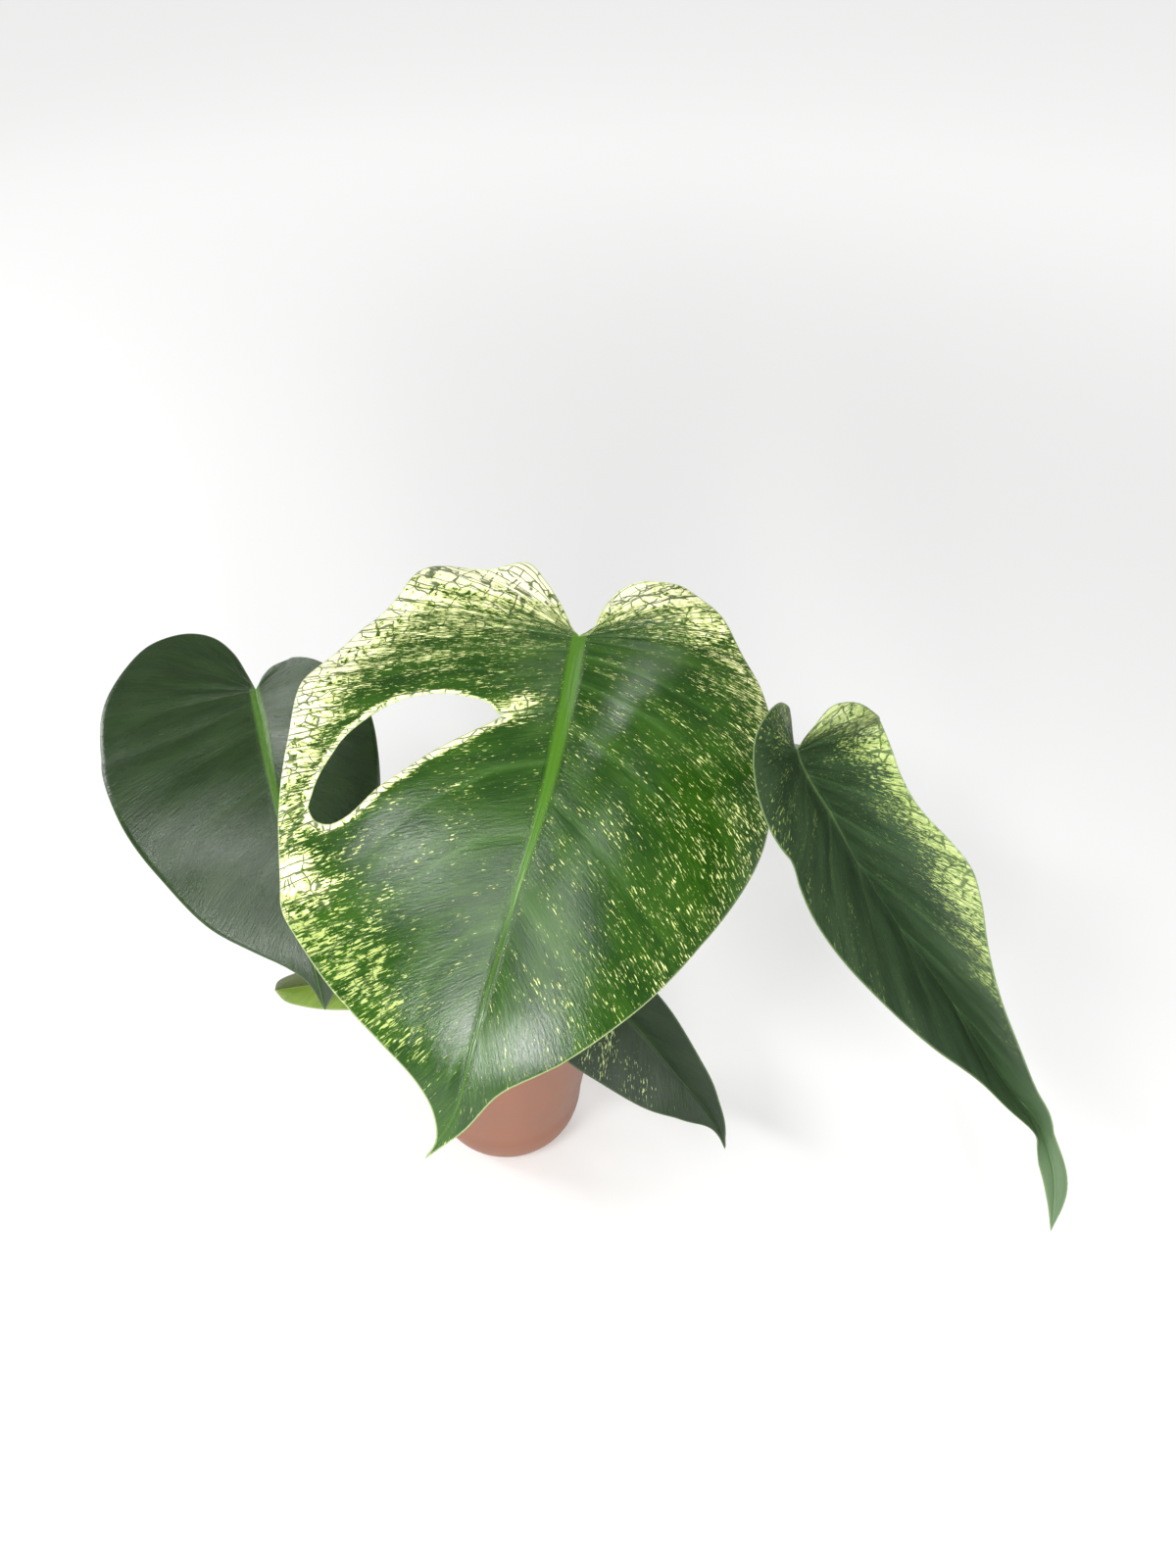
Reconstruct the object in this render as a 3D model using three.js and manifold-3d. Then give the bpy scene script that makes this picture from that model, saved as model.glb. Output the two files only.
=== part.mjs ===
// A young variegated monstera with five leaves in a plain terracotta-coloured pot.
// Millimetres, +Z up, with the origin at the centre of the pot's flat foot.
// The front of the plant, which its largest leaf faces, is -Y.

import * as THREE from "three";
import { mergeVertices } from "three/addons/utils/BufferGeometryUtils.js";
import Module from "manifold-3d";

const wasm = await Module();
wasm.setup();

const CLEARANCE = 0.35; // gap between pieces that touch on the real plant

// Pot
const POT_HEIGHT = 110;
const POT_RIM_RADIUS = 57;
const POT_WALL = 4.5;
const POT_FLOOR = 6;
const FOOT_FLAT_RADIUS = 33;
const FOOT_RADIUS = 45.5; // where the round foot runs into the straight wall
const FOOT_HEIGHT = 29;
const FOOT_STEPS = 6;
const LIP_STEPS = 4;
const POT_SEGMENTS = 44;
const DRAIN_COUNT = 5;
const DRAIN_RADIUS = 4;
const DRAIN_RING_RADIUS = 18;

// Potting mix
const MIX_LEVEL = 92;
const MIX_SEGMENTS = 28;
const MIX_TOP_RINGS = 5;
const MIX_MOUND = 3; // rise towards the stem
const MIX_RIPPLE = 1.3;
const CHIP_COUNT = 28;
const CHIP_LENGTH = [7, 15];
const CHIP_RING = [20, 43];
const CHIP_SEED = 11;

// Stem
const STEM_RADIUS = 7;
const STEM_NODE_RISE = 0.9;
const STEM_SIDES = 12;
const STEM_STEPS = 28;
const STEM_LINE = [
  [0, 0, 45],
  [1, 0, 80],
  [-1, 1, 103],
  [1, 0, 118],
  [0, 1, 133],
  [0, 0, 147],
];
const STEM_NODES = [97, 107, 119, 130, 139];

// Leaf stalks
const STALK_SIDES = 9;
const STALK_STEP = 11;
const SHEATH_LENGTH = 34;
const SEAT_GAP = 0.6; // between a stalk's end and the blade's underside

// Blades
const BLADE_THICKNESS = 0.9;
const RIB_HALF_WIDTH = 3.5; // of the midrib where the blade joins its stalk
const LOBE_START = 0.38; // part of a basal lobe's edge that its first side vein follows
const CURVE_STEPS = 40;

const LEAVES = {
  main: {
    midrib: [
      [53, 68, 364],
      [46, 14, 351],
      [40, -23, 337],
      [31, -59, 316],
      [20, -88, 293],
      [10, -112, 268],
      [1, -131, 241],
      [-8, -145, 211],
      [-23, -151, 184],
    ],
    facing: [
      [-0.05, -0.75, 0.65],
      [-0.1, -0.85, 0.5],
    ],
    rib: 2.6,
    rows: [7, 22],
    columns: 8,
    ripple: { height: 1.5, waves: 3.5, phase: 0.6, lobe: 1 },
    right: {
      fold: [[-0.1, 10], [0, 8], [0.5, 4], [1, 2]],
      droop: 0.008,
      edge: [
        [0, 0], [5, -3], [9, -18], [17.5, -31], [31, -37], [44, -39.5], [56, -31], [69.5, -20.5], [85, -3],
        [98, 21], [107, 52], [109.5, 76], [96, 110.5], [74, 147.5], [54.5, 172.5], [32, 196.5], [14.5, 213],
        [6, 236],
      ],
    },
    left: {
      fold: [[0, 4], [0.5, 4], [1, 2]],
      droop: 0.0035,
      edge: [
        [0, 0], [4, -5], [10, -16], [20, -31], [30, -41], [46, -35.5], [69, -39.5], [80, -36], [90, -17],
        [98.5, -5], [112, 14.5], [124.5, 37], [122.5, 75], [117.5, 110], [103, 150], [99, 160], [84.5, 172.5],
        [62.5, 189], [42, 200], [23, 214], [7.5, 233], [0.5, 246],
      ],
    },
  },
  left: {
    midrib: [
      [-132, 112, 294],
      [-122, 61, 284],
      [-116, 42, 276],
      [-109, 17, 262],
      [-101, -8, 241],
      [-94, -30, 214],
      [-88, -46, 188],
      [-85, -54, 166],
    ],
    facing: [
      [-0.15, -0.65, 0.7],
      [-0.15, -0.7, 0.7],
    ],
    rib: 2.2,
    rows: [6, 17],
    columns: 6,
    ripple: { height: 1.5, waves: 2.5, phase: 2, lobe: 0.2 },
    right: {
      fold: [[0, 28]],
      droop: 0.004,
      edge: [
        [0, 0], [7, -5], [17, -5], [30, -0.5], [45, 9.5], [58, 23], [67, 40], [67, 58], [60, 84],
        [36, 126], [21, 149], [8, 165],
      ],
    },
    left: {
      fold: [[0, 16]],
      droop: 0.002,
      edge: [
        [0, 0], [4, -12], [11, -29], [22, -43], [38, -50], [56, -46.5], [70, -30], [81.5, -5], [84.5, 25],
        [78, 55], [63, 90], [47, 117], [28, 134.5], [13, 147.5], [5, 158],
      ],
    },
  },
  right: {
    midrib: [
      [141, -23, 345],
      [140, -44, 332],
      [146.5, -54, 321.5],
      [154, -60, 312],
      [168, -72, 291],
      [189, -85, 263],
      [219, -102, 225],
      [243, -116, 192],
      [258, -122, 175],
      [265, -126, 163],
      [271, -135, 148],
      [273, -142, 134],
      [273, -150, 119],
    ],
    facing: [
      [-0.05, -0.9, 0.44],
      [-0.05, -0.9, 0.44],
    ],
    rib: 2,
    rows: [5, 22],
    columns: 6,
    ripple: { height: 1.2, waves: 4, phase: 1, lobe: 0.2 },
    right: {
      fold: [[-0.1, 58], [0, 56], [0.3, 58], [0.8, 62], [0.87, 15], [1, 5]],
      droop: 0.006,
      edge: [
        [0, 0], [10, -7], [21.5, -15.5], [34, -14], [45.5, -4], [53, 7], [49.5, 32], [55.5, 51.5], [57.5, 65],
        [53.5, 80], [42.5, 107], [33, 135], [25, 170], [17, 198], [6, 228], [5.5, 258],
      ],
    },
    left: {
      fold: [[-0.1, 84], [-0.05, 80], [0, 74], [0.15, 62], [0.5, 60], [0.8, 62], [0.86, 20], [1, 10]],
      droop: 0.006,
      edge: [
        [0, 0], [8, -7], [20, -11], [34, -9.5], [42, -4.5], [44.5, 5.5], [45.5, 17], [42, 32], [45, 55],
        [43.5, 75], [37, 105], [27, 143], [15, 177], [10, 207], [7, 221], [6, 246],
      ],
    },
  },
  lower: {
    midrib: [
      [29, -9, 168],
      [45, -29, 170],
      [60, -44, 165],
      [78, -59, 154],
      [96, -74, 138],
      [108, -81, 125],
      [117, -87, 113],
      [122, -93, 99],
    ],
    facing: [
      [-0.3, -0.55, 0.75],
      [-0.3, -0.55, 0.75],
    ],
    rib: 1.8,
    rows: [4, 15],
    columns: 5,
    ripple: { height: 0.8, waves: 2, phase: 0, lobe: 1 },
    right: {
      fold: [[0, 50]],
      droop: 0.01,
      edge: [[0, 0], [8, -3], [19, 1], [28, 12], [31, 30], [30, 48], [23, 76], [12, 100], [4, 118]],
    },
    left: {
      fold: [[0, 10]],
      droop: 0.004,
      edge: [
        [0, 0], [4, -9], [14, -14], [27, -9], [36, 4], [39, 22], [35.5, 45.5], [27.5, 71], [14, 97],
        [4, 112], [1, 120],
      ],
    },
  },
  young: {
    midrib: [
      [-34, -14, 138],
      [-42, -17, 143],
      [-62, -20, 150],
      [-84, -22, 150],
      [-104, -22, 146],
      [-121, -21, 141],
    ],
    facing: [
      [0.15, -0.75, 0.65],
      [0.15, -0.75, 0.65],
    ],
    rib: 1.4,
    rows: [4, 12],
    columns: 4,
    ripple: { height: 0.3, waves: 2, phase: 0, lobe: 1 },
    right: {
      fold: [[0, 35]],
      droop: 0.01,
      edge: [[0, 0], [4, -2], [10, 2], [15, 14], [17, 30], [15.5, 48], [11.5, 64], [7, 75]],
    },
    left: {
      fold: [[0, 52]],
      droop: 0.01,
      edge: [[0, 0], [4, -2], [10, 2], [15, 14], [17, 30], [16, 48], [13, 64], [8.5, 75]],
    },
  },
};

// The one hole of the largest blade, in its left half. Each row holds a place across the blade,
// 0 at the midrib and 1 at the edge, and the side veins that the hole lies between there.
const HOLE = [
  [0.23, 0.343, 0.352],
  [0.28, 0.305, 0.366],
  [0.36, 0.277, 0.385],
  [0.46, 0.255, 0.411],
  [0.56, 0.253, 0.446],
  [0.64, 0.265, 0.475],
  [0.72, 0.293, 0.507],
  [0.79, 0.333, 0.515],
  [0.83, 0.385, 0.509],
  [0.868, 0.437, 0.495],
  [0.885, 0.468, 0.48],
];

// Each stalk's route from the stem. Its last stretch, the knee, reaches the blade from below.
const STALKS = {
  main: { radius: 3.9, knee: 13, route: [[-1, 2, 127], [-4, 11, 138], [8, 19, 190], [32, 24, 270], [45, 22, 325]] },
  left: {
    radius: 3.6,
    knee: 13,
    route: [[-2, 1, 105], [-10, 6, 114], [-46, 34, 172], [-92, 66, 240], [-116, 70, 268]],
  },
  right: {
    radius: 3.7,
    knee: 13,
    route: [[1, 0, 115], [10, 2, 125], [38, 7, 162], [82, 12, 212], [124, 10, 262], [144, 0, 293], [147, -18, 309]],
  },
  lower: { radius: 2.8, knee: 9, route: [[1, -2, 102], [6, -8, 108], [21, -16, 124], [38, -20, 144]] },
  young: { radius: 2.3, knee: 6, route: [[-1, 0, 134], [-7, -1, 141], [-24, 0, 146], [-42, -4, 143]] },
};

// Colours seen on the object
const TERRACOTTA = 0xb07a66;
const MIX_BROWN = 0x3a2a20;
const STEM_GREEN = 0x55702f;
const STALK_GREEN = 0x5c8a34;
const BLADE_GREENS = { main: 0x3f7a2a, left: 0x2c4b30, right: 0x35502f, lower: 0x27402a, young: 0x7fa63a };

function material(color, roughness) {
  return new THREE.MeshStandardMaterial({ color, roughness, metalness: 0 });
}

function vector([x, y, z = 0]) {
  return new THREE.Vector3(x, y, z);
}

function curveThrough(points) {
  const curve = new THREE.CatmullRomCurve3(points.map(vector));
  curve.arcLengthDivisions = CURVE_STEPS * (points.length - 1);
  return curve;
}

// A value read off a list of [place, value] pairs, held level past its ends.
function along(pairs, place) {
  const after = pairs.findIndex(([start]) => start > place);
  if (after === 0) return pairs[0][1];
  if (after < 0) return pairs.at(-1)[1];
  const [from, low] = pairs[after - 1];
  const [to, high] = pairs[after];
  return THREE.MathUtils.mapLinear(place, from, to, low, high);
}

function randomFrom(seed) {
  let state = seed;
  return () => {
    state = (state * 16807) % 2147483647;
    return state / 2147483647;
  };
}

// Solids to and from plain triangle meshes
function solidOf(geometry) {
  const bare = geometry.clone();
  bare.deleteAttribute("normal");
  bare.deleteAttribute("uv");
  const merged = mergeVertices(bare, 1e-4);
  const vertProperties = new Float32Array(merged.attributes.position.array);
  const triVerts = new Uint32Array(merged.index.array);
  const solid = new wasm.Manifold(new wasm.Mesh({ numProp: 3, vertProperties, triVerts }));
  if (solid.volume() <= 0) throw new Error("a solid is inside out");
  return solid;
}

function geometryOf(solid) {
  const mesh = solid.getMesh();
  const geometry = new THREE.BufferGeometry();
  geometry.setAttribute("position", new THREE.BufferAttribute(new Float32Array(mesh.vertProperties), 3));
  geometry.setIndex(new THREE.BufferAttribute(new Uint32Array(mesh.triVerts), 1));
  geometry.computeVertexNormals();
  return geometry;
}

// Triangles gathered corner by corner, with those of no area left out
class Skin {
  constructor() {
    this.corners = [];
  }

  triangle(a, b, c) {
    const same = 1e-5;
    if (a.distanceTo(b) < same || b.distanceTo(c) < same || c.distanceTo(a) < same) return;
    for (const point of [a, b, c]) this.corners.push(point.x, point.y, point.z);
  }

  quad(a, b, c, d) {
    this.triangle(a, b, c);
    this.triangle(a, c, d);
  }

  solid() {
    const geometry = new THREE.BufferGeometry();
    geometry.setAttribute("position", new THREE.Float32BufferAttribute(this.corners, 3));
    return solidOf(geometry);
  }
}

// A tapered rod along a curve; its radius is a function of the distance from its start.
function rod(curve, steps, sides, radiusAt, lastNormal = null) {
  const length = curve.getLength();
  const frames = curve.computeFrenetFrames(steps, false);
  const rings = [];
  for (let step = 0; step <= steps; step += 1) {
    const centre = curve.getPointAt(step / steps);
    const radius = radiusAt((step / steps) * length);
    const normal = frames.normals[step];
    const side = frames.binormals[step];
    const ring = [];
    for (let k = 0; k < sides; k += 1) {
      const angle = (k / sides) * 2 * Math.PI;
      const point = centre.clone();
      point.addScaledVector(normal, radius * Math.cos(angle));
      point.addScaledVector(side, radius * Math.sin(angle));
      if (lastNormal && step === steps) {
        point.addScaledVector(lastNormal, -point.clone().sub(centre).dot(lastNormal));
      }
      ring.push(point);
    }
    rings.push({ centre, ring });
  }
  const skin = new Skin();
  const [first, last] = [rings[0], rings.at(-1)];
  for (let k = 0; k < sides; k += 1) {
    const next = (k + 1) % sides;
    skin.triangle(first.centre, first.ring[next], first.ring[k]);
    skin.triangle(last.centre, last.ring[k], last.ring[next]);
    for (let step = 0; step < steps; step += 1) {
      const [low, high] = [rings[step].ring, rings[step + 1].ring];
      skin.quad(low[k], low[next], high[next], high[k]);
    }
  }
  return skin.solid();
}

// One half of a blade. Flat places on it are [across, along], both from where the stalk joins.
class Half {
  constructor(blade, side, shape) {
    this.blade = blade;
    this.side = side;
    this.shape = shape;
    const edge = curveThrough([...shape.edge, [0, blade.length]]);
    this.edge = edge.getSpacedPoints(600);
    this.corner = this.edge.findIndex((point, k) => k > 0 && this.edge[k - 1].y < 0 && point.y >= 0);
  }

  edgeAt(place) {
    const k = Math.min(Math.floor(place), this.edge.length - 2);
    return this.edge[k].clone().lerp(this.edge[k + 1], place - k);
  }

  // Where a side vein ends on the edge. Veins run from -1 beside the notch, past 0 level with
  // the stalk, to 1 at the tip.
  veinEnd(vein) {
    if (vein < 0) return this.edgeAt(this.corner * (LOBE_START + (1 - LOBE_START) * (1 + vein)));
    const target = vein * this.blade.length;
    let k = this.corner;
    while (k < this.edge.length - 1 && this.edge[k].y < target) k += 1;
    const [low, high] = [this.edge[k - 1], this.edge[k]];
    const part = THREE.MathUtils.clamp((target - low.y) / Math.max(high.y - low.y, 1e-9), 0, 1);
    return low.clone().lerp(high, part);
  }

  // The flat place at a part t of the way along a side vein
  flat(vein, t) {
    const end = this.veinEnd(vein);
    const root = vein > 0 ? this.blade.length * (0.2 * vein + 0.8 * vein ** 2.2) : 0;
    const bow = vein < 0 ? 0.42 + 0.28 * Math.min(1, -1.5 * vein) : 0.42 - 0.06 * Math.min(1, 2 * vein);
    const middle = new THREE.Vector3(end.x / 2, root + bow * (end.y - root), 0);
    const place = new THREE.Vector3(0, root, 0).multiplyScalar((1 - t) ** 2);
    place.addScaledVector(middle, 2 * t * (1 - t));
    place.addScaledVector(end, t * t);
    if (vein >= 0) return place;
    const start = this.corner * LOBE_START;
    const beside = this.edgeAt(start * t).add(end.clone().sub(this.edgeAt(start)).multiplyScalar(t));
    return beside.lerp(place, THREE.MathUtils.smoothstep(3 * (1 + vein), 0, 1));
  }

  // The point in space at a flat place, at a depth below the upper face
  point(flat, vein, t, depth) {
    const { origin, along: T, normal, across } = this.blade.frame(flat.y);
    const place = flat.y / this.blade.length;
    const fold = THREE.MathUtils.degToRad(along(this.shape.fold, place));
    const bend = this.shape.droop;
    const angle = fold - bend * flat.x;
    const out = (Math.sin(fold) - Math.sin(angle)) / bend;
    const up = (Math.cos(angle) - Math.cos(fold)) / bend + this.blade.wave(vein, t, this.side);
    origin.addScaledVector(across, this.side * (out + depth * Math.sin(angle)));
    origin.addScaledVector(normal, up - depth * Math.cos(angle));
    return origin;
  }
}

class Blade {
  constructor(shape) {
    this.shape = shape;
    this.spine = curveThrough(shape.midrib);
    const lengths = this.spine.getLengths();
    this.back = lengths[CURVE_STEPS];
    this.total = lengths.at(-1);
    this.length = this.total - this.back;
    this.halves = [new Half(this, 1, shape.right), new Half(this, -1, shape.left)];
  }

  frame(y) {
    const place = THREE.MathUtils.clamp((y + this.back) / this.total, 0, 1);
    const origin = this.spine.getPointAt(place);
    const T = this.spine.getTangentAt(place);
    const normal = vector(this.shape.facing[0]).lerp(vector(this.shape.facing[1]), place);
    normal.addScaledVector(T, -normal.dot(T)).normalize();
    return { origin, along: T, normal, across: new THREE.Vector3().crossVectors(normal, T) };
  }

  wave(vein, t, side) {
    const { height, waves, phase, lobe } = this.shape.ripple;
    const share = THREE.MathUtils.lerp(1, lobe, THREE.MathUtils.clamp(-4 * vein, 0, 1));
    const fade = Math.min(1, 4 * (1 - vein));
    return height * share * fade * t ** 3 * Math.sin(Math.PI * waves * vein + phase * side);
  }

  ribDepth(vein) {
    const taper = Math.max(0, 1 - Math.max(vein, 0));
    return BLADE_THICKNESS + 0.3 + (this.shape.rib - 0.3) * taper;
  }

  // The upper and the lower point of each place on a grid of side veins
  grid(half) {
    const [lobeRows, bodyRows] = this.shape.rows;
    const veins = [];
    for (let row = 0; row < lobeRows; row += 1) veins.push(row / lobeRows - 1);
    for (let row = 0; row <= bodyRows; row += 1) veins.push(row / bodyRows);
    return veins.map((vein) => {
      const end = half.veinEnd(vein);
      const root = half.flat(vein, 0);
      const reach = Math.max(end.distanceTo(root), 1e-3);
      const first = Math.min((RIB_HALF_WIDTH * (1.1 - 0.8 * Math.max(vein, 0))) / reach, 0.3);
      const row = [];
      for (let column = 0; column <= this.shape.columns; column += 1) {
        const t = column === 0 ? 0 : first + ((1 - first) * (column - 1)) / (this.shape.columns - 1);
        const flat = half.flat(vein, t);
        if (flat.x < 1e-6) {
          const { origin, normal } = this.frame(flat.y);
          row.push([origin, origin.clone().addScaledVector(normal, -this.ribDepth(vein))]);
        } else {
          row.push([half.point(flat, vein, t, 0), half.point(flat, vein, t, BLADE_THICKNESS)]);
        }
      }
      return row;
    });
  }

  solid() {
    const skin = new Skin();
    for (const half of this.halves) {
      const rows = this.grid(half);
      const quad = (a, b, c, d) => (half.side > 0 ? skin.quad(a, b, c, d) : skin.quad(d, c, b, a));
      const face = (a, b, c) => (half.side > 0 ? skin.triangle(a, b, c) : skin.triangle(a, c, b));
      const last = this.shape.columns;
      for (let i = 0; i + 1 < rows.length; i += 1) {
        for (let k = 0; k < last; k += 1) {
          const [a, b, c, d] = [rows[i][k], rows[i][k + 1], rows[i + 1][k + 1], rows[i + 1][k]];
          face(a[0], d[0], b[0]);
          face(b[0], d[0], c[0]);
          face(a[1], b[1], d[1]);
          face(b[1], c[1], d[1]);
        }
        const [near, far] = [rows[i][last], rows[i + 1][last]];
        quad(near[0], far[0], far[1], near[1]);
      }
      for (let k = 0; k < last; k += 1) {
        const [a, b] = [rows[0][k], rows[0][k + 1]];
        quad(a[0], b[0], b[1], a[1]);
      }
    }
    return skin.solid();
  }

  // Where the stalk meets the underside
  seat() {
    const { origin, along: T, normal } = this.frame(0);
    origin.addScaledVector(T, 2).addScaledVector(normal, -this.ribDepth(0) - SEAT_GAP);
    return { point: origin, normal };
  }
}

// A plug through the blade in the outline of the hole
function holePlug(half) {
  const reach = 6;
  const outline = [...HOLE.map(([t, upper]) => [upper, t])];
  for (const [t, , lower] of [...HOLE].reverse()) outline.push([lower, t]);
  const ring = outline.map(([vein, t]) => {
    const flat = half.flat(vein, t);
    return [half.point(flat, vein, t, -reach), half.point(flat, vein, t, reach), flat];
  });
  const faces = THREE.ShapeUtils.triangulateShape(
    ring.map(([, , flat]) => new THREE.Vector2(flat.x, flat.y)),
    [],
  );
  const skin = new Skin();
  ring.forEach(([top, bottom], k) => {
    const [nextTop, nextBottom] = ring[(k + 1) % ring.length];
    skin.quad(bottom, nextBottom, nextTop, top);
  });
  for (const [a, b, c] of faces) {
    skin.triangle(ring[a][0], ring[b][0], ring[c][0]);
    skin.triangle(ring[a][1], ring[c][1], ring[b][1]);
  }
  return skin.solid();
}

function buildBlade(name, blade) {
  const whole = blade.solid();
  if (name !== "main") return whole;
  return whole.subtract(holePlug(blade.halves[1]));
}

// Round foot and straight wall, moved in from the outer face by a wall thickness
function wallProfile(inset) {
  const floor = inset > 0 ? POT_FLOOR + (inset - POT_WALL) : 0;
  const flat = FOOT_FLAT_RADIUS - inset / 2;
  const foot = FOOT_RADIUS - inset;
  const points = [];
  for (let step = 0; step <= FOOT_STEPS; step += 1) {
    const angle = (step / FOOT_STEPS) * (Math.PI / 2);
    const z = floor + (FOOT_HEIGHT - floor) * (1 - Math.cos(angle));
    points.push([flat + (foot - flat) * Math.sin(angle), z]);
  }
  return points;
}

// The radius of the straight wall at a height
function wallRadius(z, inset) {
  return THREE.MathUtils.mapLinear(z, FOOT_HEIGHT, POT_HEIGHT, FOOT_RADIUS, POT_RIM_RADIUS) - inset;
}

function lathe(profile, segments) {
  const points = profile.map(([x, y]) => new THREE.Vector2(x, y));
  return new THREE.LatheGeometry(points, segments).rotateX(Math.PI / 2);
}

function buildPot() {
  const lipRadius = POT_WALL / 2;
  const lipCentre = POT_HEIGHT - lipRadius;
  const middle = wallRadius(lipCentre, lipRadius);
  const lip = [];
  for (let step = 0; step <= LIP_STEPS; step += 1) {
    const angle = (step / LIP_STEPS) * Math.PI;
    lip.push([middle + lipRadius * Math.cos(angle), lipCentre + lipRadius * Math.sin(angle)]);
  }
  const outer = wallProfile(0);
  const inner = wallProfile(POT_WALL).reverse();
  let pot = solidOf(lathe([[0, 0], ...outer, ...lip, ...inner, [0, POT_FLOOR]], POT_SEGMENTS));
  for (let k = 0; k < DRAIN_COUNT; k += 1) {
    const angle = (k / DRAIN_COUNT) * 2 * Math.PI;
    const drain = new THREE.CylinderGeometry(DRAIN_RADIUS, DRAIN_RADIUS, 4 * POT_FLOOR, 16);
    drain.rotateX(Math.PI / 2);
    drain.translate(DRAIN_RING_RADIUS * Math.cos(angle), DRAIN_RING_RADIUS * Math.sin(angle), 0);
    pot = pot.subtract(solidOf(drain));
  }
  return pot;
}

function mixHeight(x, y) {
  const mound = MIX_MOUND * Math.exp(-(x * x + y * y) / 500);
  return MIX_LEVEL + mound + MIX_RIPPLE * Math.sin(0.21 * x + 1) * Math.cos(0.17 * y + 0.4);
}

function buildMix(stemHole) {
  const inset = POT_WALL + CLEARANCE;
  const wall = wallProfile(inset);
  const rim = wallRadius(MIX_LEVEL - MIX_RIPPLE, inset);
  const profile = [[0, wall[0][1]], ...wall];
  for (let ring = 0; ring < MIX_TOP_RINGS; ring += 1) profile.push([rim * (1 - ring / MIX_TOP_RINGS), MIX_LEVEL]);
  profile.push([0, MIX_LEVEL]);
  const geometry = lathe(profile, MIX_SEGMENTS);
  const position = geometry.attributes.position;
  for (let k = 0; k < position.count; k += 1) {
    const [x, y] = [position.getX(k), position.getY(k)];
    if (position.getZ(k) > MIX_LEVEL - 1 && Math.hypot(x, y) < rim - 1) position.setZ(k, mixHeight(x, y));
  }
  let mix = solidOf(geometry);
  const random = randomFrom(CHIP_SEED);
  for (let k = 0; k < CHIP_COUNT; k += 1) {
    const length = THREE.MathUtils.lerp(...CHIP_LENGTH, random());
    const chip = new THREE.BoxGeometry(length, length * (0.4 + 0.3 * random()), 4 + 2 * random());
    chip.rotateY(0.35 * (random() - 0.5)).rotateX(0.35 * (random() - 0.5)).rotateZ(Math.PI * random());
    const angle = 2.4 * k;
    const radius = THREE.MathUtils.lerp(...CHIP_RING, Math.sqrt((k + 0.5) / CHIP_COUNT)) - 3 * random();
    const [x, y] = [radius * Math.cos(angle), radius * Math.sin(angle)];
    chip.translate(x, y, mixHeight(x, y) + 0.3);
    mix = mix.add(solidOf(chip));
  }
  return mix.subtract(stemHole);
}

function buildStem(extra) {
  const curve = curveThrough(STEM_LINE);
  const [low, high] = [STEM_LINE[0][2], STEM_LINE.at(-1)[2]];
  const radiusAt = (distance) => {
    const z = low + distance;
    const rise = STEM_NODES.reduce((sum, node) => sum + Math.exp(-(((z - node) / 1.8) ** 2)), 0);
    const crown = Math.sqrt(Math.max(0.04, 1 - Math.max(0, (z - high + 7) / 8) ** 2));
    return (STEM_RADIUS + STEM_NODE_RISE * rise) * crown + extra;
  };
  return rod(curve, STEM_STEPS, STEM_SIDES, radiusAt);
}

function buildStalk(name, blade, stemHole) {
  const { radius, knee, route } = STALKS[name];
  const seat = blade.seat();
  const below = seat.point.clone().addScaledVector(seat.normal, -knee);
  const curve = curveThrough([...route, below.toArray(), seat.point.toArray()]);
  const length = curve.getLength();
  const radiusAt = (distance) => {
    const sheath = 0.75 * Math.max(0, 1 - distance / SHEATH_LENGTH) ** 1.2;
    const swelling = 0.16 * Math.exp(-(((length - distance - 0.8 * knee) / (0.5 * knee)) ** 2));
    return radius * (1 + sheath + swelling) * (1 - (0.1 * distance) / length);
  };
  return rod(curve, Math.ceil(length / STALK_STEP) + 6, STALK_SIDES, radiusAt, seat.normal).subtract(stemHole);
}

function place(group, name, solid, look) {
  const mesh = new THREE.Mesh(geometryOf(solid), look);
  mesh.name = name;
  group.add(mesh);
}

const plant = new THREE.Group();
const stemHole = buildStem(CLEARANCE);
place(plant, "pot", buildPot(), material(TERRACOTTA, 0.6));
place(plant, "potting_mix", buildMix(stemHole), material(MIX_BROWN, 0.95));
place(plant, "stem", buildStem(0), material(STEM_GREEN, 0.6));
for (const [name, shape] of Object.entries(LEAVES)) {
  const blade = new Blade(shape);
  place(plant, `leaf_${name}`, buildBlade(name, blade), material(BLADE_GREENS[name], 0.35));
  place(plant, `petiole_${name}`, buildStalk(name, blade, stemHole), material(STALK_GREEN, 0.45));
}

export default plant;
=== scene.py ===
import math

import bpy
import numpy as np
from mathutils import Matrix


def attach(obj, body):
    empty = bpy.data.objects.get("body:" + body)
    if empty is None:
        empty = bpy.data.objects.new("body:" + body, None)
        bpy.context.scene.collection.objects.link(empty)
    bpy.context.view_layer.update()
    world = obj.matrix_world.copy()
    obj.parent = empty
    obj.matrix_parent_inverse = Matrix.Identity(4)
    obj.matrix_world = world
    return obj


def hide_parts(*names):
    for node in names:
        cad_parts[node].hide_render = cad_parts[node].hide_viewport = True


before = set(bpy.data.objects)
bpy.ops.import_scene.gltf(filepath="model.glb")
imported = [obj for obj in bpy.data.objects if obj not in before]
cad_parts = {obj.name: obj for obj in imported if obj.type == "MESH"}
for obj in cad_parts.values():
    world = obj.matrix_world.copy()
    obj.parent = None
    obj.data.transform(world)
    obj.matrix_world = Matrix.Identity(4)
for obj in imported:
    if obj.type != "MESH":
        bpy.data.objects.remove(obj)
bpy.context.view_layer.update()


# The photograph: a camera held above the front of the pot, looking down at 42 degrees.
# The picture is 1200 pixels wide and 1600 tall, and the 36 mm sensor lies along its height.
CAMERA_PLACE = (0.050, -0.458, 0.686)
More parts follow.
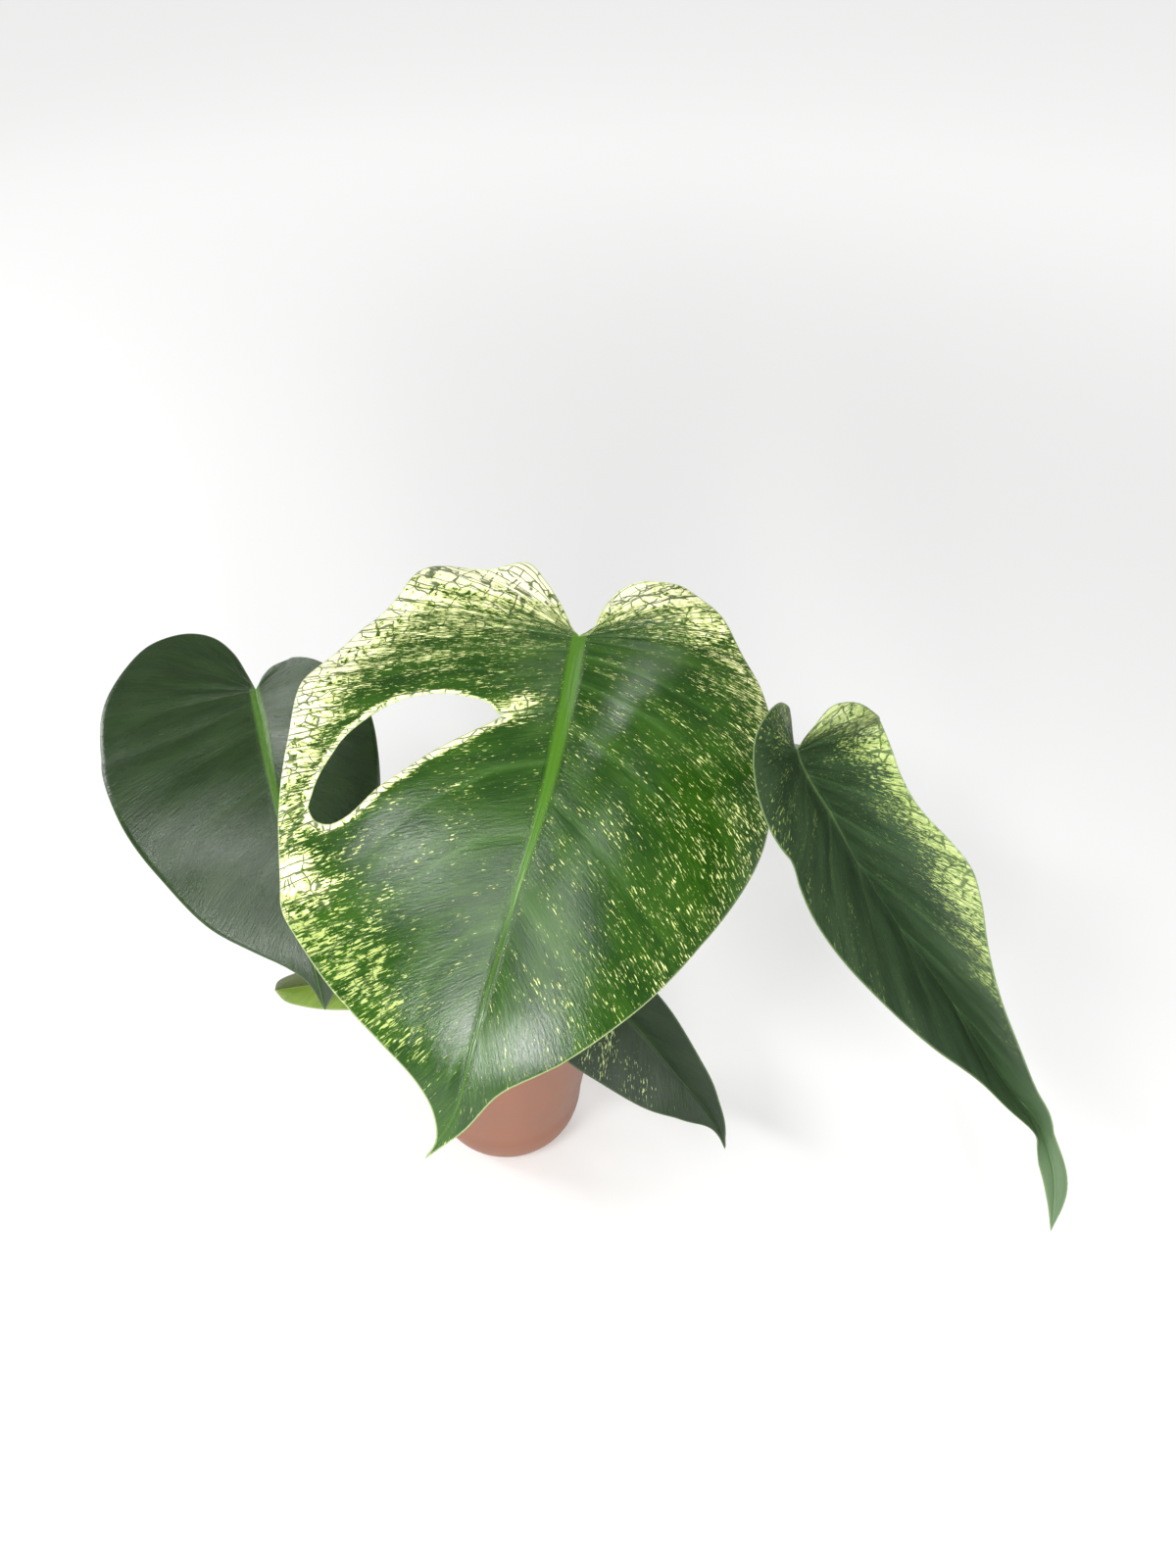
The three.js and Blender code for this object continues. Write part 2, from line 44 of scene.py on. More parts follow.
CAMERA_LOOKS_DOWN = 42
CAMERA_LENS = 29
SENSOR = 36

camera_data = bpy.data.cameras.new("camera")
camera_data.lens = CAMERA_LENS
camera_data.sensor_width = SENSOR
camera = bpy.data.objects.new("camera", camera_data)
camera.location = CAMERA_PLACE
camera.rotation_euler = (math.radians(90 - CAMERA_LOOKS_DOWN), 0, 0)
bpy.context.scene.collection.objects.link(camera)
bpy.context.scene.camera = camera
bpy.context.scene.view_settings.view_transform = "Standard"


# The studio: a wide white floor that glows a little far out, and five soft boxes. The waxy blades
# mirror the three in front as bands, and the one on the left also lights the pot.
FLOOR_SIZE = 8
FLOOR_WHITE = (0.93, 0.93, 0.925, 1)
FLOOR_ROUGHNESS = 0.9
FLOOR_GLOW = {"From Min": 0.3, "From Max": 2.2, "To Min": 0.0, "To Max": 0.5}
SKY_WHITE = (1.0, 1.0, 1.0, 1)
SKY_STRENGTH = 0.38
LIGHTS_AIM = (0.0, -0.05, 0.28)
LIGHTS = {
    "left": {"turned": -108, "high": 14, "away": 1.7, "size": (0.5, 0.5), "power": 13},
    "front_low": {"turned": -3, "high": 7, "away": 1.6, "size": (0.22, 0.5), "power": 18},
    "front": {"turned": 7, "high": 36, "away": 1.6, "size": (0.16, 1.0), "power": 11},
    "front_high": {"turned": -34, "high": 49, "away": 1.6, "size": (0.55, 0.12), "power": 10},
    "overhead": {"turned": 120, "high": 71, "away": 1.5, "size": (0.14, 0.14), "power": 4},
}


def new_finish(name):
    """A material with one shader, and the shader itself."""
    finish = bpy.data.materials.new(name)
    finish.use_nodes = True
    return finish, finish.node_tree.nodes["Principled BSDF"]


def add(tree, kind, inputs=None, **settings):
    """One node of a tree. Each input is a value, or another node's output to link."""
    made = tree.nodes.new(kind)
    for name, value in settings.items():
        setattr(made, name, value)
    for name, value in (inputs or {}).items():
        if isinstance(value, bpy.types.NodeSocket):
            tree.links.new(value, made.inputs[name])
        else:
            made.inputs[name].default_value = value
    return made


floor_mesh = bpy.data.meshes.new("floor")
half_floor = FLOOR_SIZE / 2
floor_mesh.from_pydata(
    [(x * half_floor, y * half_floor, 0) for x, y in ((-1, -1), (1, -1), (1, 1), (-1, 1))],
    [],
    [(0, 1, 2, 3)],
)
floor = bpy.data.objects.new("floor", floor_mesh)
floor_finish, floor_shader = new_finish("floor_paper")
floor_shader.inputs["Base Color"].default_value = FLOOR_WHITE
floor_shader.inputs["Roughness"].default_value = FLOOR_ROUGHNESS
floor_shader.inputs["Emission Color"].default_value = FLOOR_WHITE
floor_tree = floor_finish.node_tree
floor_place = add(floor_tree, "ShaderNodeTexCoord").outputs["Object"]
far_out = add(floor_tree, "ShaderNodeVectorMath", {0: floor_place}, operation="LENGTH").outputs["Value"]
glow = add(
    floor_tree,
    "ShaderNodeMapRange",
    {"Value": far_out, **FLOOR_GLOW},
    interpolation_type="SMOOTHSTEP",
)
floor_tree.links.new(glow.outputs["Result"], floor_shader.inputs["Emission Strength"])
floor_mesh.materials.append(floor_finish)
bpy.context.scene.collection.objects.link(floor)

for light_name, light in LIGHTS.items():
    lamp = bpy.data.lights.new(light_name, "AREA")
    lamp.shape = "RECTANGLE"
    lamp.size, lamp.size_y = light["size"]
    lamp.energy = light["power"]
    lamp_object = bpy.data.objects.new(light_name, lamp)
    turned_by, raised_by = math.radians(light["turned"]), math.radians(light["high"])
    level = math.cos(raised_by)
    away = np.array([math.sin(turned_by) * level, -math.cos(turned_by) * level, math.sin(raised_by)])
    lamp_object.location = np.array(LIGHTS_AIM) + light["away"] * away
    lamp_object.rotation_euler = (math.pi / 2 - raised_by, 0, turned_by)
    bpy.context.scene.collection.objects.link(lamp_object)

sky = bpy.data.worlds.new("sky")
sky.use_nodes = True
sky.node_tree.nodes["Background"].inputs["Color"].default_value = SKY_WHITE
sky.node_tree.nodes["Background"].inputs["Strength"].default_value = SKY_STRENGTH
bpy.context.scene.world = sky


# The pot: a plain round-footed pot of fine terracotta with a thin satin glaze, turned in one
# piece, 113 mm across its rolled rim, with five drainage holes bored through the foot.
POT_HEIGHT = 0.110
POT_RIM_RADIUS = 0.057
POT_WALL = 0.0045
POT_FLOOR = 0.006
FOOT_FLAT_RADIUS = 0.033
FOOT_RADIUS = 0.0455
FOOT_HEIGHT = 0.029
POT_SEGMENTS = 144
FOOT_STEPS = 14
WALL_RINGS = 14
LIP_STEPS = 13
DRAIN_COUNT = 5
DRAIN_RADIUS = 0.004
DRAIN_RING_RADIUS = 0.018
DRAIN_SIDES = 32
DRILL_HEIGHTS = (-0.01, 0.02)
CLAY_LIGHT = (0.228, 0.088, 0.046, 1)
CLAY_DARK = (0.20, 0.076, 0.038, 1)
CLAY_SPECK = (0.16, 0.07, 0.05, 1)
GLAZE_WEIGHT = 0.12
GLAZE_ROUGHNESS = 0.35

# How many clouds, grains, turning marks and specks the clay has to a metre
CLAY_CLOUDS = 38
CLAY_GRAIN = 2600
TURNING_MARKS = (6, 6, 260)
SPECK_CELLS = 85
SPECK_GROUPS = 47


def math_of(tree, operation, first, second=0.0, third=0.0):
    """The result of one sum on numbers or outputs."""
    return add(tree, "ShaderNodeMath", {0: first, 1: second, 2: third}, operation=operation).outputs[0]


def ranged(tree, value, low, high, to_low=0.0, to_high=1.0):
    """A value moved smoothly from one range to another, held at its ends."""
    ends = {"From Min": low, "From Max": high, "To Min": to_low, "To Max": to_high}
    made = add(tree, "ShaderNodeMapRange", {"Value": value, **ends}, interpolation_type="SMOOTHSTEP")
    return made.outputs["Result"]


def mixed(tree, factor, first, second):
    """Two colours mixed by a factor."""
    made = add(tree, "ShaderNodeMix", data_type="RGBA")
    for socket, value in ((made.inputs[0], factor), (made.inputs[6], first), (made.inputs[7], second)):
        if isinstance(value, bpy.types.NodeSocket):
            tree.links.new(value, socket)
        else:
            socket.default_value = value
    return made.outputs[2]


def noise_of(tree, vector, scale, detail=3.0, roughness=0.55):
    """Cloudy noise between 0 and 1."""
    settings = {"Vector": vector, "Scale": scale, "Detail": detail, "Roughness": roughness}
    return add(tree, "ShaderNodeTexNoise", settings).outputs["Fac"]


def bumped(tree, height, distance, under=None):
    """A bump of a height given between 0 and 1 over a distance in metres."""
    made = add(tree, "ShaderNodeBump", {"Height": height, "Distance": distance, "Strength": 1.0})
    if under is not None:
        tree.links.new(under, made.inputs["Normal"])
    return made.outputs["Normal"]


def put(name, mesh, finish):
    """A finished mesh as a piece at the origin."""
    piece = bpy.data.objects.new(name, mesh)
    mesh.materials.clear()
    mesh.materials.append(finish)
    mesh.shade_smooth()
    bpy.context.scene.collection.objects.link(piece)
    return piece


def turned(profile, segments):
    """A closed body turned from a profile that starts and ends on the axis."""
    rings = profile[1:-1]
    angles = np.linspace(0, 2 * math.pi, segments, endpoint=False)
    places = [(0.0, 0.0, profile[0][1])]
    for radius, height in rings:
        places += [(radius * math.cos(a), radius * math.sin(a), height) for a in angles]
    places.append((0.0, 0.0, profile[-1][1]))
    last = len(places) - 1
    faces = []
    for k in range(segments):
        n = (k + 1) % segments
        faces.append((0, 1 + n, 1 + k))
        for ring in range(len(rings) - 1):
            low, high = 1 + ring * segments, 1 + (ring + 1) * segments
            faces.append((low + k, low + n, high + n, high + k))
        low = 1 + (len(rings) - 1) * segments
        faces.append((low + k, low + n, last))
    mesh = bpy.data.meshes.new("turned")
    mesh.from_pydata(places, [], faces)
    return mesh


def foot_profile(inset):
    """The round foot's outline, moved in from the outer face."""
    floor_height = POT_FLOOR + (inset - POT_WALL) if inset > 0 else 0.0
    flat = FOOT_FLAT_RADIUS - inset / 2
    foot = FOOT_RADIUS - inset
    points = []
    for step in range(FOOT_STEPS + 1):
        angle = step / FOOT_STEPS * math.pi / 2
        height = floor_height + (FOOT_HEIGHT - floor_height) * (1 - math.cos(angle))
        points.append((flat + (foot - flat) * math.sin(angle), height))
    return points


def wall_radius(height, inset):
    """The radius of the straight wall at a height."""
    place = (height - FOOT_HEIGHT) / (POT_HEIGHT - FOOT_HEIGHT)
    return FOOT_RADIUS + (POT_RIM_RADIUS - FOOT_RADIUS) * place - inset


def pot_mesh():
    """The hollow pot, with its drainage holes cut out."""
    lip_radius = POT_WALL / 2
    lip_height = POT_HEIGHT - lip_radius
    lip_middle = wall_radius(lip_height, lip_radius)
    lip = [
        (lip_middle + lip_radius * math.cos(a), lip_height + lip_radius * math.sin(a))
        for a in np.linspace(0, math.pi, LIP_STEPS)
    ]
    heights = np.linspace(FOOT_HEIGHT, lip_height, WALL_RINGS)[1:-1]
    outer_wall = [(wall_radius(h, 0), h) for h in heights]
    inner_wall = [(wall_radius(h, POT_WALL), h) for h in reversed(heights)]
    outer, inner = foot_profile(0), foot_profile(POT_WALL)
    profile = [(0, 0), *outer, *outer_wall, *lip, *inner_wall, *reversed(inner), (0, POT_FLOOR)]
    body = bpy.data.objects.new("pot_body", turned(profile, POT_SEGMENTS))
    bpy.context.scene.collection.objects.link(body)
    drill_places, drill_faces = [], []
    for k in range(DRAIN_COUNT):
        around = k / DRAIN_COUNT * 2 * math.pi
        x, y = DRAIN_RING_RADIUS * math.cos(around), DRAIN_RING_RADIUS * math.sin(around)
        low = len(drill_places)
        high = low + DRAIN_SIDES
        for height in DRILL_HEIGHTS:
            for s in range(DRAIN_SIDES):
                a = s / DRAIN_SIDES * 2 * math.pi
                drill_places.append((x + DRAIN_RADIUS * math.cos(a), y + DRAIN_RADIUS * math.sin(a), height))
        drill_faces.append(tuple(reversed(range(low, high))))
        drill_faces.append(tuple(range(high, high + DRAIN_SIDES)))
        for s in range(DRAIN_SIDES):
            n = (s + 1) % DRAIN_SIDES
            drill_faces.append((low + s, low + n, high + n, high + s))
    drill_mesh = bpy.data.meshes.new("drills")
    drill_mesh.from_pydata(drill_places, [], drill_faces)
    drills = bpy.data.objects.new("drills", drill_mesh)
    bpy.context.scene.collection.objects.link(drills)
    bore = body.modifiers.new("bore", "BOOLEAN")
    bore.object = drills
    bore.operation = "DIFFERENCE"
    bore.solver = "EXACT"
    made = bpy.data.meshes.new_from_object(body.evaluated_get(bpy.context.evaluated_depsgraph_get()))
    bpy.data.objects.remove(body)
    bpy.data.objects.remove(drills)
    return made


def terracotta():
    """Fired clay with faint turning marks, a few dark specks and a thin satin glaze."""
    finish, shader = new_finish("satin_terracotta")
    tree = finish.node_tree
    where = add(tree, "ShaderNodeTexCoord").outputs["Object"]
    clouds = noise_of(tree, where, CLAY_CLOUDS, detail=4)
    banded = add(tree, "ShaderNodeMapping", {"Vector": where, "Scale": TURNING_MARKS}).outputs["Vector"]
    turning = noise_of(tree, banded, 1, detail=2)
    grain = noise_of(tree, where, CLAY_GRAIN, detail=2)
    marks = math_of(tree, "MULTIPLY", turning, 0.08)
    blend = math_of(tree, "MULTIPLY_ADD", clouds, 0.92, marks)
    colour = mixed(tree, ranged(tree, blend, 0.3, 0.7), CLAY_DARK, CLAY_LIGHT)
    cells = add(tree, "ShaderNodeTexVoronoi", {"Vector": where, "Scale": SPECK_CELLS, "Randomness": 1.0})
    speck = ranged(tree, cells.outputs["Distance"], 0.035, 0.075, 1.0, 0.0)
    some = ranged(tree, noise_of(tree, where, SPECK_GROUPS), 0.56, 0.6)
    colour = mixed(tree, math_of(tree, "MULTIPLY", speck, some), colour, CLAY_SPECK)
    tree.links.new(colour, shader.inputs["Base Color"])
    tree.links.new(ranged(tree, clouds, 0.2, 0.8, 0.42, 0.56), shader.inputs["Roughness"])
    relief = bumped(tree, grain, 0.00004)
    relief = bumped(tree, turning, 0.00003, under=relief)
    tree.links.new(relief, shader.inputs["Normal"])
    shader.inputs["Coat Weight"].default_value = GLAZE_WEIGHT
    shader.inputs["Coat Roughness"].default_value = GLAZE_ROUGHNESS
    return finish


pot = put("pot_turned", pot_mesh(), terracotta())
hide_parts("pot")
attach(pot, "root")


# The potting mix: bark, peat and soil pressed in by hand to 18 mm below the rim and heaped a
# little round the stem, with coarse bark chips and white grains of perlite lying on it.
MIX_LEVEL = 0.092
MIX_MOUND = 0.003
MIX_MOUND_SPREAD = 0.0005
MIX_RIPPLE = 0.0013
MIX_WAVES = (210, 170)
MIX_EDGE_STRIP = 0.0008
MIX_EDGE_DROP = 0.001
MIX_CLEARANCE = 0.00035
MIX_SEGMENTS = 160
MIX_RINGS = 46
MIX_CRUMB = 0.0009
MIX_SEED = 5
CHIP_COUNT = 28
CHIP_LENGTH = (0.007, 0.015)
CHIP_RING = (0.020, 0.043)
CHIP_TILT = 0.35
CHIP_SEED = 11
CHIP_WIDTH = (0.4, 0.7)
CHIP_HEIGHT = (0.004, 0.006)
CHIP_WEAR = 0.22
CHIP_NICKS = 0.0007
CHIP_TURN = 2.4
CHIP_STRAY = 0.003
CHIP_LIFT = 0.0003
CRUMBS = {
    "Density": 42000,
    "Smallest": 0.0011,
    "Largest": 0.0030,
    "Flatness": 0.4,
    "Roughness": 1.3,
    "Seed": 3,
}
PERLITE = {
    "Density": 8000,
    "Smallest": 0.0008,
    "Largest": 0.0019,
    "Flatness": 0.85,
    "Roughness": 0.9,
    "Seed": 8,
}
STREWN_DEPTH = 0.0015
STREWN_FROM = 0.0098
STREWN_TO = 0.0465
SOIL_DARK = (0.022, 0.014, 0.009, 1)
SOIL_LIGHT = (0.085, 0.055, 0.035, 1)
BARK_DARK = (0.055, 0.028, 0.015, 1)
BARK_LIGHT = (0.22, 0.115, 0.06, 1)
PERLITE_WHITE = (0.78, 0.77, 0.73, 1)
PERLITE_GREY = (0.5, 0.48, 0.42, 1)

# How many crumbs, clouds, fibres and pores the mix's parts have to a metre
SOIL_CRUMBS = 620
SOIL_CLOUDS = 160
BARK_FIBRES = (240, 900, 900)
BARK_CLOUDS = 90
PERLITE_PORES = 1900


def mix_height(x, y):
    """The height of the mix's top at a place, in metres."""
    mound = MIX_MOUND * np.exp(-(x * x + y * y) / MIX_MOUND_SPREAD)
    ripple = MIX_RIPPLE * np.sin(MIX_WAVES[0] * x + 1) * np.cos(MIX_WAVES[1] * y + 0.4)
    return MIX_LEVEL + mound + ripple


def mix_mesh():
    """The mix as one body that fills the pot, heaped and crumbly on top."""
    inset = POT_WALL + MIX_CLEARANCE
    wall = foot_profile(inset)
    rim_height = MIX_LEVEL - MIX_RIPPLE
    rim = wall_radius(rim_height, inset)
    top = [(rim * (1 - ring / MIX_RINGS), MIX_LEVEL) for ring in range(MIX_RINGS)]
    mesh = turned([(0, wall[0][1]), *wall, *top, (0, MIX_LEVEL)], MIX_SEGMENTS)
    count = len(mesh.vertices)
    places = np.empty(count * 3)
    mesh.vertices.foreach_get("co", places)
    places = places.reshape(-1, 3)
    radius = np.hypot(places[:, 0], places[:, 1])
    on_top = places[:, 2] > MIX_LEVEL - 0.0001
    random = np.random.default_rng(MIX_SEED)
    crumbs = random.random(count) * MIX_CRUMB
    inward = on_top & (radius < rim - MIX_EDGE_STRIP)
    x, y = places[:, 0], places[:, 1]
    places[:, 2] = np.where(inward, mix_height(x, y) + crumbs, places[:, 2])
    places[:, 2] = np.where(on_top & ~inward, MIX_LEVEL - MIX_EDGE_DROP, places[:, 2])
    mesh.vertices.foreach_set("co", places.ravel())
    return mesh


def soil():
    """Dark peat with bark dust, in crumbs, with painted shade in the gaps between them."""
    finish, shader = new_finish("bark_and_peat")
    tree = finish.node_tree
    where = add(tree, "ShaderNodeTexCoord").outputs["Object"]
    crumbs = add(tree, "ShaderNodeTexVoronoi", {"Vector": where, "Scale": SOIL_CRUMBS, "Randomness": 1.0})
    cloud = noise_of(tree, where, SOIL_CLOUDS, detail=6, roughness=0.7)
    tone = mixed(tree, ranged(tree, cloud, 0.35, 0.7), SOIL_DARK, SOIL_LIGHT)
    # Darker towards each crumb's edge: painted shade in the gaps between the crumbs
    shade = ranged(tree, crumbs.outputs["Distance"], 0.0, 0.6, 1.0, 0.45)
    tone = mixed(tree, math_of(tree, "SUBTRACT", 1.0, shade), tone, SOIL_DARK)
    tree.links.new(tone, shader.inputs["Base Color"])
    shader.inputs["Roughness"].default_value = 0.95
    relief = bumped(tree, cloud, 0.0012)
    relief = bumped(tree, crumbs.outputs["Distance"], 0.0006, under=relief)
    tree.links.new(relief, shader.inputs["Normal"])
    return finish


def bark():
    """Fibrous brown bark, light and dark by the chip."""
    finish, shader = new_finish("bark_chip")
    tree = finish.node_tree
    where = add(tree, "ShaderNodeTexCoord").outputs["Object"]
    fibres = add(tree, "ShaderNodeMapping", {"Vector": where, "Scale": BARK_FIBRES}).outputs["Vector"]
    grain = noise_of(tree, fibres, 1, detail=5, roughness=0.65)
    cloud = noise_of(tree, where, BARK_CLOUDS, detail=3)
    blend = math_of(tree, "MULTIPLY_ADD", grain, 0.5, math_of(tree, "MULTIPLY", cloud, 0.5))
    tone = mixed(tree, ranged(tree, blend, 0.36, 0.64), BARK_DARK, BARK_LIGHT)
    tree.links.new(tone, shader.inputs["Base Color"])
    shader.inputs["Roughness"].default_value = 0.85
    tree.links.new(bumped(tree, grain, 0.0005), shader.inputs["Normal"])
    return finish


def perlite():
    """Chalky white grains with open pores."""
    finish, shader = new_finish("perlite_grain")
    tree = finish.node_tree
    where = add(tree, "ShaderNodeTexCoord").outputs["Object"]
    pores = noise_of(tree, where, PERLITE_PORES, detail=4, roughness=0.7)
    tone = mixed(tree, ranged(tree, pores, 0.3, 0.55), PERLITE_GREY, PERLITE_WHITE)
    tree.links.new(tone, shader.inputs["Base Color"])
    shader.inputs["Roughness"].default_value = 0.8
    tree.links.new(bumped(tree, pores, 0.0003), shader.inputs["Normal"])
    return finish


def park_miller(seed):
    """Even random numbers from 0 to 1, one after another."""
    state = seed
    while True:
        state = state * 16807 % 2147483647
        yield state / 2147483647


def between(limits, share):
    """A number at a share of the way between two limits."""
    return limits[0] + (limits[1] - limits[0]) * share


def rolled(places, axis, angle):
    """Places turned about an axis of their own."""
    first, second = (axis + 1) % 3, (axis + 2) % 3
    turn = np.eye(3)
    turn[first, first] = turn[second, second] = math.cos(angle)
    turn[first, second] = math.sin(angle)
    turn[second, first] = -math.sin(angle)
    return places @ turn


def chip_mesh():
    """The coarse bark chips, each a broken flat block with worn corners."""
    random = park_miller(CHIP_SEED)
    wear = np.random.default_rng(CHIP_SEED)
    places, faces = [], []
    cube = [(x, y, z) for z in (-0.5, 0.5) for y in (-0.5, 0.0, 0.5) for x in (-0.5, -0.17, 0.17, 0.5)]
    across, deep = 4, 3
    cube_faces = []
    for z in (0, 1):
        for y in range(deep - 1):
            for x in range(across - 1):
                a = z * across * deep + y * across + x
                face = (a, a + 1, a + across + 1, a + across)
                cube_faces.append(face if z else face[::-1])
    rim = [0, 1, 2, 3, 7, 11, 10, 9, 8, 4]
    for a, b in zip(rim, rim[1:] + rim[:1]):
        cube_faces.append((a, b, b + across * deep, a + across * deep))
    for k in range(CHIP_COUNT):
        length = between(CHIP_LENGTH, next(random))
        width = length * between(CHIP_WIDTH, next(random))
        size = np.array([length, width, between(CHIP_HEIGHT, next(random))])
        turn_y = CHIP_TILT * (next(random) - 0.5)
        turn_x = CHIP_TILT * (next(random) - 0.5)
        turn_z = math.pi * next(random)
        around = CHIP_TURN * k
        radius = between(CHIP_RING, math.sqrt((k + 0.5) / CHIP_COUNT))
        radius -= CHIP_STRAY * next(random)
        x, y = radius * math.cos(around), radius * math.sin(around)
        body = np.array(cube) * size * (1 + CHIP_WEAR * (wear.random((len(cube), 3)) - 0.5))
        body += CHIP_NICKS * (wear.random(body.shape) - 0.5)
        for axis, angle in ((1, turn_y), (0, turn_x), (2, turn_z)):
            body = rolled(body, axis, angle)
        body += (x, y, mix_height(x, y) + CHIP_LIFT)
        faces += [tuple(i + len(places) for i in face) for face in cube_faces]
        places += [tuple(p) for p in body]
    mesh = bpy.data.meshes.new("bark_chips")
    mesh.from_pydata(places, [], faces)
    return mesh


def scatter_tree(name):
    """Geometry nodes that strew small rough grains over the upward faces of a mesh."""
    tree = bpy.data.node_groups.new(name, "GeometryNodeTree")
    face = tree.interface
    face.new_socket("Geometry", in_out="INPUT", socket_type="NodeSocketGeometry")
    for label in ("Density", "Smallest", "Largest", "Flatness", "Roughness"):
        face.new_socket(label, in_out="INPUT", socket_type="NodeSocketFloat")
    face.new_socket("Seed", in_out="INPUT", socket_type="NodeSocketInt")
    face.new_socket("Material", in_out="INPUT", socket_type="NodeSocketMaterial")
    face.new_socket("Geometry", in_out="OUTPUT", socket_type="NodeSocketGeometry")
    given = tree.nodes.new("NodeGroupInput").outputs
    place = add(tree, "GeometryNodeInputPosition").outputs[0]
    split = add(tree, "ShaderNodeSeparateXYZ", {0: place})
    across = math_of(tree, "MULTIPLY", split.outputs["X"], split.outputs["X"])
    deep = math_of(tree, "MULTIPLY", split.outputs["Y"], split.outputs["Y"])
    radius = math_of(tree, "SQRT", math_of(tree, "ADD", across, deep))
    lowest = MIX_LEVEL - STREWN_DEPTH
    high = add(tree, "FunctionNodeCompare", {0: split.outputs["Z"], 1: lowest}, operation="GREATER_THAN")
    clear = add(tree, "FunctionNodeCompare", {0: radius, 1: STREWN_FROM}, operation="GREATER_THAN")
    inside = add(tree, "FunctionNodeCompare", {0: radius, 1: STREWN_TO}, operation="LESS_THAN")
    both = add(tree, "FunctionNodeBooleanMath", {0: high.outputs[0], 1: clear.outputs[0]}, operation="AND")
    where = add(tree, "FunctionNodeBooleanMath", {0: both.outputs[0], 1: inside.outputs[0]}, operation="AND")
    strewn = {"Mesh": given["Geometry"], "Selection": where.outputs[0], "Density": given["Density"]}
    points = add(tree, "GeometryNodeDistributePointsOnFaces", {**strewn, "Seed": given["Seed"]})
    grain = add(tree, "GeometryNodeMeshIcoSphere", {"Radius": 1.0, "Subdivisions": 2})
    lump = add(tree, "ShaderNodeTexNoise", {"Scale": 1.3, "Detail": 2.0})
    centred = {0: lump.outputs["Color"], 1: (0.5, 0.5, 0.5)}
    push = add(tree, "ShaderNodeVectorMath", centred, operation="SUBTRACT")
    worn = {0: push.outputs[0], "Scale": given["Roughness"]}
    pushed = add(tree, "ShaderNodeVectorMath", worn, operation="SCALE").outputs[0]
    rough = add(tree, "GeometryNodeSetPosition", {"Geometry": grain.outputs["Mesh"], "Offset": pushed})
    sizes = {2: given["Smallest"], 3: given["Largest"], "Seed": given["Seed"]}
    size = add(tree, "FunctionNodeRandomValue", sizes, data_type="FLOAT").outputs[1]
    flat = math_of(tree, "MULTIPLY", size, given["Flatness"])
    slim = math_of(tree, "MULTIPLY", size, 0.65)
    scale = add(tree, "ShaderNodeCombineXYZ", {"X": size, "Y": slim, "Z": flat})
    angles = {0: (-0.5, -0.5, 0.0), 1: (0.5, 0.5, 6.28), "Seed": given["Seed"]}
    turn = add(tree, "FunctionNodeRandomValue", angles, data_type="FLOAT_VECTOR")
    laid = {
        "Points": points.outputs["Points"],
        "Instance": rough.outputs[0],
        "Rotation": turn.outputs[0],
        "Scale": scale.outputs[0],
    }
    grains = add(tree, "GeometryNodeInstanceOnPoints", laid)
    solid = add(tree, "GeometryNodeRealizeInstances", {0: grains.outputs[0]})
    smooth = add(tree, "GeometryNodeSetShadeSmooth", {0: solid.outputs[0]}).outputs[0]
    painted = add(tree, "GeometryNodeSetMaterial", {"Geometry": smooth, "Material": given["Material"]})
    out = tree.nodes.new("NodeGroupOutput")
    tree.links.new(painted.outputs[0], out.inputs[0])
    return tree


def grown(name, base, tree, values):
    """The plain mesh that a tree makes on a base object, which is then removed."""
    made_by = base.modifiers.new(name, "NODES")
    made_by.node_group = tree
    for item in tree.interface.items_tree:
        if item.item_type == "SOCKET" and item.in_out == "INPUT" and item.name in values:
            made_by[item.identifier] = values[item.name]
    bpy.context.view_layer.update()
    mesh = bpy.data.meshes.new_from_object(base.evaluated_get(bpy.context.evaluated_depsgraph_get()))
    mesh.name = name
    bpy.data.objects.remove(base)
    return mesh


mix = put("mix_heaped", mix_mesh(), soil())
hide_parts("potting_mix")
bark_finish = bark()
perlite_finish = perlite()
strew = scatter_tree("strew_grains")
chips = put("bark_chips", chip_mesh(), bark_finish)
for polygon in chips.data.polygons:
    polygon.use_smooth = False
laid_grains = []
for grain_name, grain_values, grain_finish in (
    ("bark_crumbs", CRUMBS, bark_finish),
    ("perlite_grains", PERLITE, perlite_finish),
):
    base = bpy.data.objects.new(grain_name + "_base", mix.data.copy())
    bpy.context.scene.collection.objects.link(base)
    grain_mesh = grown(grain_name, base, strew, {**grain_values, "Material": grain_finish})
    laid_grains.append(put(grain_name, grain_mesh, grain_finish))
for piece in (mix, chips, *laid_grains):
    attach(piece, "root")


# The stem: a short fleshy green stem, brown and corky towards the mix, with a ring at each joint
# where a leaf stalk's sheath goes round it. It is rooted in the mix.
STEM_RADIUS = 0.007
STEM_NODE_RISE = 0.0009
STEM_LINE = [(0, 0, 45), (1, 0, 80), (-1, 1, 103), (1, 0, 118), (0, 1, 133), (0, 0, 147)]
STEM_NODES = (97, 107, 119, 130, 139)
STEM_NODE_SPREAD = 1.8
STEM_CROWN = 8
STEM_STEPS = 150
STEM_SIDES = 48
STEM_GREEN = (0.10, 0.17, 0.035, 1)
STEM_CORK = (0.16, 0.10, 0.05, 1)
STEM_CLOUDS = 220
STEM_RINGS = (60, 60, 1400)
CORK_HEIGHTS = (0.098, 0.128)
MILLIMETRE = 0.001


